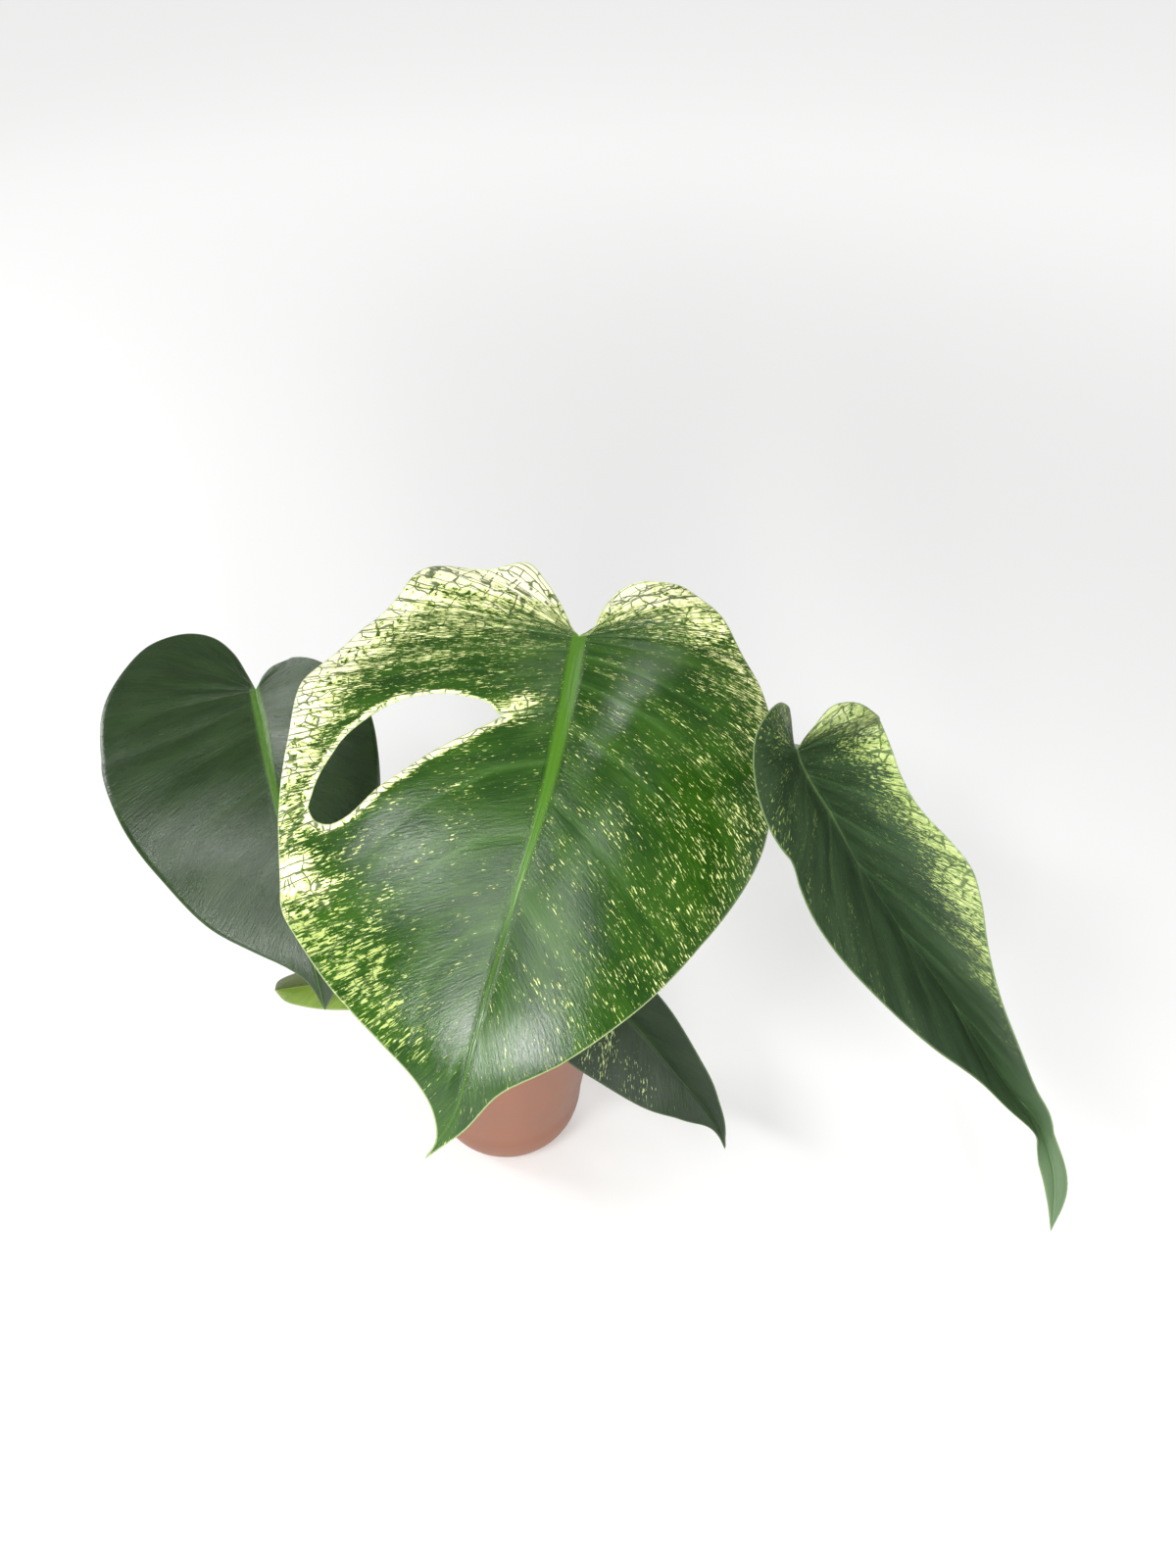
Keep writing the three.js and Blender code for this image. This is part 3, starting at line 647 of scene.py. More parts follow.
def line_through(points, steps=60):
    """A smooth line through the points: its places, and how far along it each one lies."""
    knots = np.array(points, float)
    knots = np.vstack([2 * knots[0] - knots[1], knots, 2 * knots[-1] - knots[-2]])
    share = np.linspace(0, 1, steps, endpoint=False)[:, None]
    places = []
    for before, start, end, after in zip(knots, knots[1:], knots[2:], knots[3:]):
        gaps = [math.sqrt(np.linalg.norm(b - a)) for a, b in ((before, start), (start, end), (end, after))]
        leave = (start - before) / gaps[0] - (end - before) / (gaps[0] + gaps[1]) + (end - start) / gaps[1]
        arrive = (end - start) / gaps[1] - (after - start) / (gaps[1] + gaps[2]) + (after - end) / gaps[2]
        leave, arrive = leave * gaps[1], arrive * gaps[1]
        square = -3 * start + 3 * end - 2 * leave - arrive
        cube = 2 * start - 2 * end + leave + arrive
        places.append(start + leave * share + square * share**2 + cube * share**3)
    places = np.vstack([*places, knots[-2]])
    far = np.r_[0, np.cumsum(np.linalg.norm(np.diff(places, axis=0), axis=1))]
    return places, far


def stem_mesh():
    """The stem, swept along its line, with rings, faint ribs and a rounded crown."""
    line, far = line_through(STEM_LINE)
    places, faces = [], []
    low, high = STEM_LINE[0][2], STEM_LINE[-1][2]
    for step in range(STEM_STEPS + 1):
        distance = far[-1] * step / STEM_STEPS
        centre = np.array([np.interp(distance, far, line[:, k]) for k in range(3)]) * MILLIMETRE
        z = low + distance
        rise = sum(math.exp(-(((z - node) / STEM_NODE_SPREAD) ** 2)) for node in STEM_NODES)
        crown = math.sqrt(max(0.04, 1 - max(0, (z - high + STEM_CROWN - 1) / STEM_CROWN) ** 2))
        radius = (STEM_RADIUS + STEM_NODE_RISE * rise) * crown
        for side in range(STEM_SIDES):
            angle = side / STEM_SIDES * 2 * math.pi
            ribbed = radius * (1 + 0.018 * math.sin(5 * angle + 0.05 * z) + 0.008 * math.sin(13 * angle))
            places.append(centre + np.array([ribbed * math.cos(angle), ribbed * math.sin(angle), 0]))
    for step in range(STEM_STEPS):
        ring = step * STEM_SIDES
        for side in range(STEM_SIDES):
            a, b = ring + side, ring + (side + 1) % STEM_SIDES
            faces.append((a, b, b + STEM_SIDES, a + STEM_SIDES))
    faces.append(tuple(reversed(range(STEM_SIDES))))
    faces.append(tuple(STEM_STEPS * STEM_SIDES + side for side in range(STEM_SIDES)))
    mesh = bpy.data.meshes.new("stem")
    mesh.from_pydata(places, [], faces)
    return mesh


def stem_skin():
    """Green bark that turns to brown cork towards the mix."""
    finish, shader = new_finish("corky_green_stem")
    tree = finish.node_tree
    where = add(tree, "ShaderNodeTexCoord").outputs["Object"]
    height = add(tree, "ShaderNodeSeparateXYZ", {0: where}).outputs["Z"]
    cloud = noise_of(tree, where, STEM_CLOUDS, detail=5, roughness=0.65)
    banded = add(tree, "ShaderNodeMapping", {"Vector": where, "Scale": STEM_RINGS}).outputs["Vector"]
    rings = noise_of(tree, banded, 1)
    cork = math_of(tree, "ADD", ranged(tree, height, *CORK_HEIGHTS, 0.5, -0.25), cloud)
    colour = mixed(tree, ranged(tree, cork, 0.5, 0.75), STEM_GREEN, STEM_CORK)
    tree.links.new(colour, shader.inputs["Base Color"])
    tree.links.new(ranged(tree, cork, 0.4, 0.8, 0.45, 0.85), shader.inputs["Roughness"])
    relief = bumped(tree, rings, 0.0003)
    relief = bumped(tree, cloud, 0.0002, under=relief)
    tree.links.new(relief, shader.inputs["Normal"])
    return finish


stem = put("stem_grown", stem_mesh(), stem_skin())
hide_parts("stem")
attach(stem, "root")


# The largest blade: a waxy leaf, less than a millimetre thick, with a raised midrib, side veins
# that sink into its face, and one long hole in its left half. Cream runs through the green
# in streaks along the side veins, and fills both lobes and the left margin.
BLADE_THICKNESS = 0.75
EDGE_THICKNESS = 0.4
RIB_HALF_WIDTH = 3.5
LOBE_START = 0.38
ROWS_BETWEEN_VEINS = 13
RIB_COLUMNS = 6
EDGE_SAMPLES = 600
SPINE_STEPS = 200
LOBE_BOW = (0.42, 0.70)
BODY_BOW = (0.42, 0.36)
VEIN_WIDTH = 0.006
VEIN_DEPTH = 0.25
VEIN_DEPTH_UNDER = 0.35
RIM_BULGE = 0.16
MAIN_BLADE = {
    "midrib": [
        (53, 68, 364), (46, 14, 351), (40, -23, 337), (31, -59, 316), (20, -88, 293),
        (10, -112, 268), (1, -131, 241), (-8, -145, 211), (-23, -151, 184),
    ],
    "facing": [(-0.05, -0.75, 0.65), (-0.1, -0.85, 0.5)],
    "rib": 2.6,
    "columns": 58,
    "ripple": {"height": 1.5, "waves": 3.5, "phase": 0.6, "lobe": 1},
    "quilt": 0.4,
    "face_rib": 0.9,
    "right": {
        "fold": [(-0.1, 10), (0, 8), (0.5, 4), (1, 2)],
        "droop": 0.008,
        "veins": [-1, -0.8, -0.58, -0.36, -0.15, 0.03, 0.14, 0.26, 0.39, 0.53, 0.68, 0.84, 1],
        "edge": [
            (0, 0), (5, -3), (9, -18), (17.5, -31), (31, -37), (44, -39.5), (56, -31), (69.5, -20.5),
            (85, -3), (98, 21), (107, 52), (109.5, 76), (96, 110.5), (74, 147.5), (54.5, 172.5),
            (32, 196.5), (14.5, 213), (6, 236),
        ],
        "flecks": 0.135,
        "cream": [
            (-0.95, 0.65, 0.42, 0.7, 0.97),
            (-0.4, 0.8, 0.3, 0.4, 0.45),
            (0.0, 0.97, 0.28, 0.2, 0.35),
            (0.35, 0.85, 0.3, 0.4, 0.16),
            (0.65, 0.7, 0.2, 0.4, 0.04),
            (0.9, 0.4, 0.22, 0.5, -0.09),
        ],
    },
    "left": {
        "fold": [(0, 4), (0.5, 4), (1, 2)],
        "droop": 0.0035,
        "veins": [-1, -0.8, -0.6, -0.4, -0.2, 0.0, 0.12, 0.24, 0.37, 0.49, 0.61, 0.73, 0.86, 1],
        "edge": [
            (0, 0), (4, -5), (10, -16), (20, -31), (30, -41), (46, -35.5), (69, -39.5), (80, -36),
            (90, -17), (98.5, -5), (112, 14.5), (124.5, 37), (122.5, 75), (117.5, 110), (103, 150),
            (99, 160), (84.5, 172.5), (62.5, 189), (42, 200), (23, 214), (7.5, 233), (0.5, 246),
        ],
        "flecks": 0.07,
        "cream": [
            (-0.95, 0.8, 0.45, 0.8, 1.0),
            (-0.6, 0.85, 0.25, 0.5, 0.95),
            (-0.3, 0.55, 0.4, 0.5, 0.36),
            (0.1, 0.55, 0.3, 0.5, 0.22),
            (-0.2, 1.0, 0.35, 0.2, 0.6),
            (0.12, 1.02, 0.34, 0.2, 0.93),
            (0.5, 0.98, 0.06, 0.2, 0.7),
            (0.345, 0.17, 0.04, 0.08, 0.7),
        ],
        "marble": [
            (0.6, 0.78, 0.1, 0.28, 0.37),
            (0.72, 0.86, 0.1, 0.24, 0.35),
            (0.52, 0.98, 0.14, 0.12, 0.46),
        ],
    },
}

# The hole, as places across the blade from 0 at the midrib to 1 at the edge, each with the side
# veins that the hole lies between there. The rows of the mesh part along SEAM to go round it.
SEAM = 0.37
HOLE_TIPS = [(0.215, 0.3475), (0.889, 0.474)]
HOLE = [
    (0.23, 0.343, 0.352), (0.28, 0.305, 0.366), (0.36, 0.277, 0.385), (0.46, 0.255, 0.411),
    (0.56, 0.253, 0.446), (0.64, 0.265, 0.475), (0.72, 0.293, 0.507), (0.79, 0.333, 0.515),
    (0.83, 0.385, 0.509), (0.868, 0.437, 0.495), (0.885, 0.468, 0.48),
]
HALVES_APART = 5
HOLE_CREAM = 0.97
HOLE_CREAM_BELOW = 3.6
HOLE_CREAM_ABOVE = 3.0
HOLE_COLUMNS = [0, 9, 16, 40, 47, 52]
HOLE_ENDS = (0.06, 0.07)


def eased(value, low, high):
    """A smooth step from 0 to 1 between two limits."""
    share = np.clip((value - low) / (high - low), 0, 1)
    return share * share * (3 - 2 * share)


def hole_side(lower):
    """The hole's upper or lower outline, as places across and side veins."""
    outline = [(row[0], row[2] if lower else row[1]) for row in HOLE]
    return line_through([HOLE_TIPS[0], *outline, HOLE_TIPS[1]])[0]


class HalfBlade:
    """One half of a blade. Flat places are millimetres across and along, from the stalk's joint."""

    def __init__(self, blade, side, shape):
        self.blade = blade
        self.side = side
        self.shape = shape
        outline, far = line_through([(*point, 0) for point in shape["edge"]] + [(0, blade.length, 0)])
        even = np.linspace(0, far[-1], EDGE_SAMPLES + 1)
        self.edge = np.stack([np.interp(even, far, outline[:, k]) for k in (0, 1)], -1)
        self.edge_step = even[1]
        below = self.edge[:-1, 1] < 0
        above = self.edge[1:, 1] >= 0
        self.corner = int(np.argmax(below & above)) + 1

    def edge_at(self, place):
        """The flat place on the edge at a count of samples."""
        samples = np.arange(EDGE_SAMPLES + 1)
        return np.stack([np.interp(place, samples, self.edge[:, k]) for k in (0, 1)], -1)

    def edge_place(self, vein):
        """How far round the edge a side vein ends, counted in samples."""
        lobe = self.corner * (LOBE_START + (1 - LOBE_START) * (1 + vein))
        samples = np.arange(self.corner - 1, EDGE_SAMPLES + 1)
        heights = np.maximum.accumulate(self.edge[self.corner - 1 :, 1]) + 1e-9 * samples
        body = np.interp(vein * self.blade.length, heights, samples)
        return np.where(vein < 0, lobe, body)

    def flat(self, vein, across):
        """The flat place at a share of the way across, along a side vein."""
        end = self.edge_at(self.edge_place(vein))
        length = self.blade.length
        ahead = np.maximum(vein, 0)
        root = length * (0.2 * ahead + 0.8 * ahead**2.2)
        lobe_bow = between(LOBE_BOW, np.minimum(1, -1.5 * vein))
        body_bow = between(BODY_BOW, np.minimum(1, 2 * vein))
        bow = np.where(vein < 0, lobe_bow, body_bow)
        start = np.stack([0 * root, root], -1)
        middle = np.stack([end[..., 0] / 2, root + bow * (end[..., 1] - root)], -1)
        t = across[..., None]
        place = start * (1 - t) ** 2 + middle * 2 * t * (1 - t) + end * t**2
        first = self.corner * LOBE_START
        beside = self.edge_at(first * across) + (end - self.edge_at(first)) * t
        blend = eased(3 * (1 + vein), 0, 1)[..., None]
        lobe = beside + (place - beside) * blend
        return np.where((vein < 0)[..., None], lobe, place)

    def surface(self, flat, raised):
        """Places in space, raised above the blade's plain face."""
        origin, _, normal, across = self.blade.frames(flat[..., 1])
        fold = np.radians(np.interp(flat[..., 1] / self.blade.length, *zip(*self.shape["fold"])))
        bend = self.shape["droop"]
        angle = fold - bend * flat[..., 0]
        out = (np.sin(fold) - np.sin(angle)) / bend - raised * np.sin(angle)
        up = (np.cos(angle) - np.cos(fold)) / bend + raised * np.cos(angle)
        beside = origin + self.side * out[..., None] * across + up[..., None] * normal
        return np.where(flat[..., :1] > 0, beside, origin + raised[..., None] * normal)


class Blade:
    """A blade's spine with its two halves."""

    def __init__(self, shape):
        self.shape = shape
        self.spine, self.far = line_through(shape["midrib"], SPINE_STEPS)
        self.back = self.far[SPINE_STEPS]
        self.total = self.far[-1]
        self.length = self.total - self.back
        self.tangent = np.gradient(self.spine, self.far, axis=0)
        self.halves = [HalfBlade(self, 1, shape["right"]), HalfBlade(self, -1, shape["left"])]

    def frames(self, y):
        """The midrib's places at some distances, with its direction, its normal and the way across."""
        far = np.clip(y + self.back, 0, self.total)
        origin = np.stack([np.interp(far, self.far, self.spine[:, k]) for k in range(3)], -1)
        along = np.stack([np.interp(far, self.far, self.tangent[:, k]) for k in range(3)], -1)
        along /= np.linalg.norm(along, axis=-1, keepdims=True)
        place = (far / self.total)[..., None]
        first, last = (np.array(facing) for facing in self.shape["facing"])
        normal = first + (last - first) * place
        normal = normal - along * (normal * along).sum(-1, keepdims=True)
        normal /= np.linalg.norm(normal, axis=-1, keepdims=True)
        return origin, along, normal, np.cross(normal, along)

    def rib_depth(self, along):
        """How far the midrib's keel stands below the face."""
        return BLADE_THICKNESS + (self.shape["rib"] + 0.15) * np.clip(1 - along, 0, 1)


def share_of_cream(patches, flecks, row, across):
    """How much of the surface is cream. A patch has its middle, its reach and its share, or lack."""
    green = 1 - flecks + 0 * row * across
    for middle_row, middle_across, reach_row, reach_across, share in patches:
        off = ((row - middle_row) / reach_row) ** 2 + ((across - middle_across) / reach_across) ** 2
        green = green * (1 - share * np.exp(-off))
    share = 1 - green
    return share - 0.4 * (1 - eased(share, 0, 0.06)) + 0.4 * eased(share, 0.86, 0.96)


def distance_to(lines, places):
    """The distance from each flat place to the nearest of some line pieces."""
    nearest = np.full(len(places), 1e9)
    for start, end in lines:
        step = end - start
        share = np.clip(((places - start) @ step) / max(step @ step, 1e-12), 0, 1)
        nearest = np.minimum(nearest, np.linalg.norm(places - start - share[:, None] * step, axis=1))
    return nearest


def hole_rim(half, flat, across):
    """The share of cream round the hole: broad below it, and narrowing inwards above it."""
    share = np.zeros(across.shape)
    above = HOLE_CREAM_ABOVE * np.interp(across, [0.3, 0.6], [0.3, 1])
    for lower, reach in ((True, HOLE_CREAM_BELOW), (False, above)):
        line = hole_side(lower)[::10]
        places = half.flat(line[:, 1], line[:, 0])
        distance = distance_to(zip(places, places[1:]), flat.reshape(-1, 2)).reshape(across.shape)
        share = np.maximum(share, HOLE_CREAM * (1 - eased(distance / reach, 0.4, 1.5)))
    return share


def half_grid(half, holed):
    """One half as a grid of rows along its side veins: flat places, heights and finish values."""
    shape, blade = half.shape, half.blade
    veins = shape["veins"]
    spans = zip(veins, veins[1:])
    rows = [np.linspace(a, b, ROWS_BETWEEN_VEINS, endpoint=False) for a, b in spans]
    rows = np.concatenate([*rows, [1.0]])
    if holed:
        rows = np.sort(np.r_[rows[np.abs(rows - SEAM) > 1e-6], SEAM, SEAM])
    count = blade.shape["columns"]
    root_ends = half.edge_at(half.edge_place(rows))
    roots = half.flat(rows, 0 * rows)
    reach = np.maximum(np.linalg.norm(root_ends - roots, axis=1), 1e-3)
    first = np.minimum(RIB_HALF_WIDTH * (1.1 - 0.8 * np.maximum(rows, 0)) / reach, 0.3)
    outer = np.linspace(0, 1, count - RIB_COLUMNS + 1)
    if holed:
        seam_first = first[np.argmin(np.abs(rows - SEAM))]
        tips = [(tip[0] - seam_first) / (1 - seam_first) for tip in HOLE_TIPS]
        stops = [0, tips[0], tips[0] + HOLE_ENDS[0], tips[1] - HOLE_ENDS[1], tips[1], 1]
        outer = np.interp(np.arange(count - RIB_COLUMNS + 1), HOLE_COLUMNS, stops)
    inner = np.arange(RIB_COLUMNS) / RIB_COLUMNS
    across = np.hstack([first[:, None] * inner, first[:, None] + (1 - first[:, None]) * outer])
    row = np.repeat(rows[:, None], across.shape[1], axis=1)
    vein = row.copy()
    seam_rows = None
    if holed:
        seam_rows = int(np.argmax(rows == SEAM))
        upper, lower = hole_side(False), hole_side(True)
        top = np.interp(across, upper[:, 0], upper[:, 1])
        bottom = np.interp(across, lower[:, 0], lower[:, 1])
        above = (np.arange(len(rows)) <= seam_rows)[:, None] & (row > 0)
        below = (np.arange(len(rows)) > seam_rows)[:, None]
        vein = np.where(above, row * top / SEAM, vein)
        vein = np.where(below, 1 - (1 - row) * (1 - bottom) / (1 - SEAM), vein)
    flat = half.flat(vein, across)
    middle = np.abs(flat[..., 0]) < 1e-6
    flat[..., 0][middle] = 0.0

    # Pillows between the side veins, ripples along the edge and the midrib's round back
    pillow = np.interp(row, veins, np.arange(len(veins)))
    pillow = np.sin(math.pi * (pillow % 1)) ** 2
    inland = eased(across, 0.03, 0.3) * (1 - eased(across, 0.7, 1.0))
    ripple = blade.shape["ripple"]
    wave = np.sin(math.pi * ripple["waves"] * vein + ripple["phase"] * half.side)
    share = 1 - (1 - ripple["lobe"]) * np.clip(-4 * vein, 0, 1)
    raised = ripple["height"] * share * across**3 * wave * np.minimum(1, 4 * (1 - vein))
    raised = raised + blade.shape["quilt"] * pillow * inland * np.clip(1.3 - np.abs(row), 0, 1)
    along = np.clip(flat[..., 1] / blade.length, 0, 1)
    from_rib = np.hypot(flat[..., 0], np.minimum(flat[..., 1], 0))
    rib_width = RIB_HALF_WIDTH * (1.15 - 0.95 * along)
    rib = np.clip(1 - (from_rib / rib_width) ** 2, 0, 1)
    top_face = raised + blade.shape["face_rib"] * (1 - along) * rib**1.5
    gaps = np.abs(row[..., None] - np.array(veins[1:-1])).min(-1)
    vein_line = np.exp(-((gaps / VEIN_WIDTH) ** 2))
    vein_line = vein_line * (1 - eased(across, 0.25, 0.85)) * eased(across, 0.0, 0.04)
    top_face = top_face - VEIN_DEPTH * vein_line
    thick = EDGE_THICKNESS + (BLADE_THICKNESS - EDGE_THICKNESS) * eased(1 - across, 0.0, 0.06)
    keel = blade.rib_depth(along) - BLADE_THICKNESS
    low_face = raised - thick - keel * rib**1.2 - VEIN_DEPTH_UNDER * vein_line
    from_root = across * np.interp(vein, rows, reach)
    apart = half.side * np.minimum(from_root, HALVES_APART)
    grain = np.stack([from_root, half.edge_place(vein) * half.edge_step, apart], -1)
    cream = share_of_cream(shape.get("cream", []), shape.get("flecks", 0), row, across)
    marble = share_of_cream(shape.get("marble", []), 0, row, across)
    if holed:
        cream = np.maximum(cream, hole_rim(half, flat, across))
    return {
        "flat": flat,
        "top": half.surface(flat, top_face),
        "low": half.surface(flat, low_face),
        "grain": grain,
        "rib": rib * np.clip(1.15 - 1.55 * along, 0, 1),
        "vein": vein_line,
        "cream": cream,
        "marble": marble,
        "seam": seam_rows,
    }


def blade_mesh(name, blade, holed=False):
    """A closed blade: its face, its underside and a rounded rim round its edge and its hole."""
    flats, tops, lows, faces = [], [], [], []
    values = {"grain": [], "rib": [], "vein": [], "cream": [], "marble": []}
    start = 0
    for half in blade.halves:
        grid = half_grid(half, holed and half.side < 0)
        rows, columns = grid["rib"].shape
        ids = start + np.arange(rows * columns).reshape(rows, columns)
        a, b, c, d = ids[:-1, :-1], ids[:-1, 1:], ids[1:, 1:], ids[1:, :-1]
        order = (a, d, c, b) if half.side > 0 else (a, b, c, d)
        quads = np.stack(order, -1)
        if grid["seam"] is not None:
            quads = np.delete(quads, grid["seam"], axis=0)
        faces.append(quads.reshape(-1, 4))
        flats.append((grid["flat"] * (half.side, 1)).reshape(-1, 2))
        tops.append(grid["top"].reshape(-1, 3))
        lows.append(grid["low"].reshape(-1, 3))
        for key, kept in values.items():
            kept.append(grid[key].reshape(rows * columns, -1))
        start += rows * columns
    flat = np.vstack(flats)
    _, kept, merged = np.unique(np.round(flat, 4) + 0.0, axis=0, return_index=True, return_inverse=True)
    merged = merged.ravel()
    flat, top, low = flat[kept], np.vstack(tops)[kept], np.vstack(lows)[kept]
    values = {key: np.vstack(parts)[kept] for key, parts in values.items()}
    midrib = np.flatnonzero(flat[:, 0] == 0)
    midrib = midrib[np.argsort(flat[midrib, 1])].tolist()
    on_midrib = {vertex: k for k, vertex in enumerate(midrib)}
    cells = []
    for quad in merged[np.vstack(faces)].tolist():
        corners = [q for k, q in enumerate(quad) if q != quad[k - 1]]
        if len(set(corners)) < len(corners) or len(corners) < 3:
            continue
        # A cell beside the midrib also takes the corners of the cells on the other side
        cell = []
        for corner, following in zip(corners, corners[1:] + corners[:1]):
            cell.append(corner)
            if corner in on_midrib and following in on_midrib:
                first, last = on_midrib[corner], on_midrib[following]
                step = 1 if last > first else -1
                cell += midrib[first + step : last : step] if abs(last - first) > 1 else []
        cells.append(cell)
    edges = {(a, b) for corners in cells for a, b in zip(corners, corners[1:] + corners[:1])}
    rim = [(a, b) for a, b in edges if (b, a) not in edges]
    before = {b: a for a, b in rim}
    after = dict(rim)
    border = sorted(after)
    rim_id = {vertex: k for k, vertex in enumerate(border)}
    count = len(flat)
    low_side = [tuple(i + count for i in reversed(corners)) for corners in cells]
    middle = (top[border] + low[border]) / 2
    lines = top[[after[v] for v in border]] - top[[before[v] for v in border]]
    outward = np.cross(lines, top[border] - low[border])
    outward /= np.maximum(np.linalg.norm(outward, axis=1, keepdims=True), 1e-9)
    middle = middle + RIM_BULGE * outward
    walls = []
    for a, b in rim:
        mid_a, mid_b = 2 * count + rim_id[a], 2 * count + rim_id[b]
        walls.append((b, a, mid_a, mid_b))
        walls.append((mid_b, mid_a, a + count, b + count))
    places = np.vstack([top, low, middle]) * MILLIMETRE
    mesh = bpy.data.meshes.new(name)
    mesh.from_pydata(places.tolist(), [], [tuple(c) for c in cells] + low_side + walls)
    from_edge = distance_to([(flat[a], flat[b]) for a, b in rim], flat)
    values["edge"] = from_edge[:, None]
    values["flat"] = np.c_[flat, np.zeros(count)]
    for key, value in values.items():
        whole = np.vstack([value, value, value[border]])
        wide = whole.shape[1] == 3
        store = mesh.attributes.new(key, "FLOAT_VECTOR" if wide else "FLOAT", "POINT")
        store.data.foreach_set("vector" if wide else "value", whole.astype(np.float32).ravel())
    under = np.r_[np.zeros(count), np.ones(count), np.full(len(border), 0.5)]
    mesh.attributes.new("under", "FLOAT", "POINT").data.foreach_set("value", under.astype(np.float32))
    return mesh


# How large the marks in a blade's skin are, in millimetres along and across its side veins, and
# the lines of its net: how far apart, how much they sway and how wide they are.
BROAD_MARKS = (26, 9)
BLOTCHES = (8, 3.6)
SPOTS = (3, 3)
GREEN_CLOUDS = (34, 16)
GREEN_LINES = (22, 0.9)
WRINKLES = (7, 1.4)
PORES = (0.7, 0.5)
NET_SWAY = (34, 13)
NET_BREAKS = (14, 7)
NET_LINES = ((8.3, 8, 0.5), (12.7, -11, 0.6))
NET_CELLS = (8, 0.5)


def blade_skin(name, look):
    """A waxy blade: green, with cream where its share is high, veins, a midrib and fine wrinkles."""
    finish, shader = new_finish(name)
    tree = finish.node_tree

    def read(attribute, output="Fac"):
        """What the mesh stores under a name."""
        return add(tree, "ShaderNodeAttribute", attribute_name=attribute).outputs[output]

    def vector_of(operation, first, second):
        """The result of one sum on vectors or outputs."""
        return add(tree, "ShaderNodeVectorMath", {0: first, 1: second}, operation=operation).outputs[0]

    def stretched(vector, length, width):
        """Places scaled so that noise on them gets a length and a width."""
        return vector_of("MULTIPLY", vector, (1 / length, 1 / width, 1))

    def bent(vector, length, width, shift):
        """Places pushed about, so that straight streaks and cells turn wavy."""
        push = add(tree, "ShaderNodeTexNoise", {"Vector": stretched(vector, length, width), "Scale": 1.0})
        push = vector_of("SUBTRACT", push.outputs["Color"], (0.5, 0.5, 0.5))
        return vector_of("ADD", vector, vector_of("MULTIPLY", push, shift))

    def cracks(vector, size, thin, shade):
        """The walls of a field of cells, as thin lines."""
        cells = {"Vector": stretched(vector, size, size), "Scale": 1.0}
        wall = add(tree, "ShaderNodeTexVoronoi", cells, feature="DISTANCE_TO_EDGE").outputs["Distance"]
        return ranged(tree, wall, 0.3 * thin / size, thin / size, shade, 0.0)

    def fan(spacing, wobble, thin, shade):
        """Thin lines that run along the side veins and fan out to the margin."""
        sway = noise_of(tree, stretched(grain, *NET_SWAY), 1, detail=3)
        place = add(tree, "ShaderNodeSeparateXYZ", {0: grain}).outputs["Y"]
        place = math_of(tree, "MULTIPLY_ADD", sway, wobble, place)
        turn = math_of(tree, "FRACT", math_of(tree, "DIVIDE", place, spacing))
        off = math_of(tree, "ABSOLUTE", math_of(tree, "SUBTRACT", turn, 0.5))
        return ranged(tree, off, 0.3 * thin / spacing, thin / spacing, shade, 0.0)

    def level_of(noises, share):
        """How far a sum of noises stands above what its share of the face lets through."""
        total = -sum(weight for _, weight in noises) / 2
        for noise, weight in noises:
            total = math_of(tree, "MULTIPLY_ADD", noise, weight, total)
        return math_of(tree, "ADD", total, math_of(tree, "SUBTRACT", share, 0.5))

    grain, flat, under = read("grain", "Vector"), read("flat", "Vector"), read("under")
    beside = add(tree, "ShaderNodeSeparateXYZ", {0: flat}).outputs["X"]
    middle_line = ranged(tree, math_of(tree, "ABSOLUTE", beside), 0.5, 0.9, 1.0, 0.0)
    rib, vein, edge = read("rib"), read("vein"), read("edge")
    cream, marble = read("cream"), read("marble")
    wavy = bent(grain, 16, 8, (1.6, 0.7, 0))
    lumpy = bent(flat, 7, 7, (5, 5, 0))

    # Streaks and flecks along the side veins, and rounder patches with ragged edges
    fine = noise_of(tree, stretched(wavy, *look["fleck"]), 1, detail=3, roughness=0.6)
    broad = noise_of(tree, stretched(wavy, *BROAD_MARKS), 1, detail=2)
    blotch = noise_of(tree, stretched(wavy, *BLOTCHES), 1, detail=4, roughness=0.65)
    spots = noise_of(tree, stretched(lumpy, *SPOTS), 1, detail=3, roughness=0.6)
    in_margin = ranged(tree, cream, 0.5, 0.8)
    mottle = add(tree, "ShaderNodeMix", {0: in_margin, 2: fine, 3: spots}).outputs[0]
    streaks = level_of([(mottle, 2.3), (broad, 0.9)], cream)
    patches = level_of([(blotch, 1.7), (fine, 1.7)], marble)
    patches = math_of(tree, "MINIMUM", patches, 0.03)
    level = math_of(tree, "MAXIMUM", streaks, patches)

    # Two greens, finely lined along the veins, with a yellow-green fringe where the cream starts
    clouds = noise_of(tree, stretched(wavy, *GREEN_CLOUDS), 1, detail=3)
    lines = noise_of(tree, stretched(wavy, *GREEN_LINES), 1, detail=3)
    tone = math_of(tree, "MULTIPLY_ADD", lines, 0.4, math_of(tree, "MULTIPLY", clouds, 0.6))
    green = mixed(tree, ranged(tree, tone, 0.38, 0.62), look["dark"], look["light"])
    colour = mixed(tree, ranged(tree, level, -0.08, 0.0), green, look["fringe"])
    colour = mixed(tree, ranged(tree, level, 0.0, 0.06), colour, look["cream"])
    colour = mixed(tree, ranged(tree, level, 0.1, 0.35), colour, look["pale"])

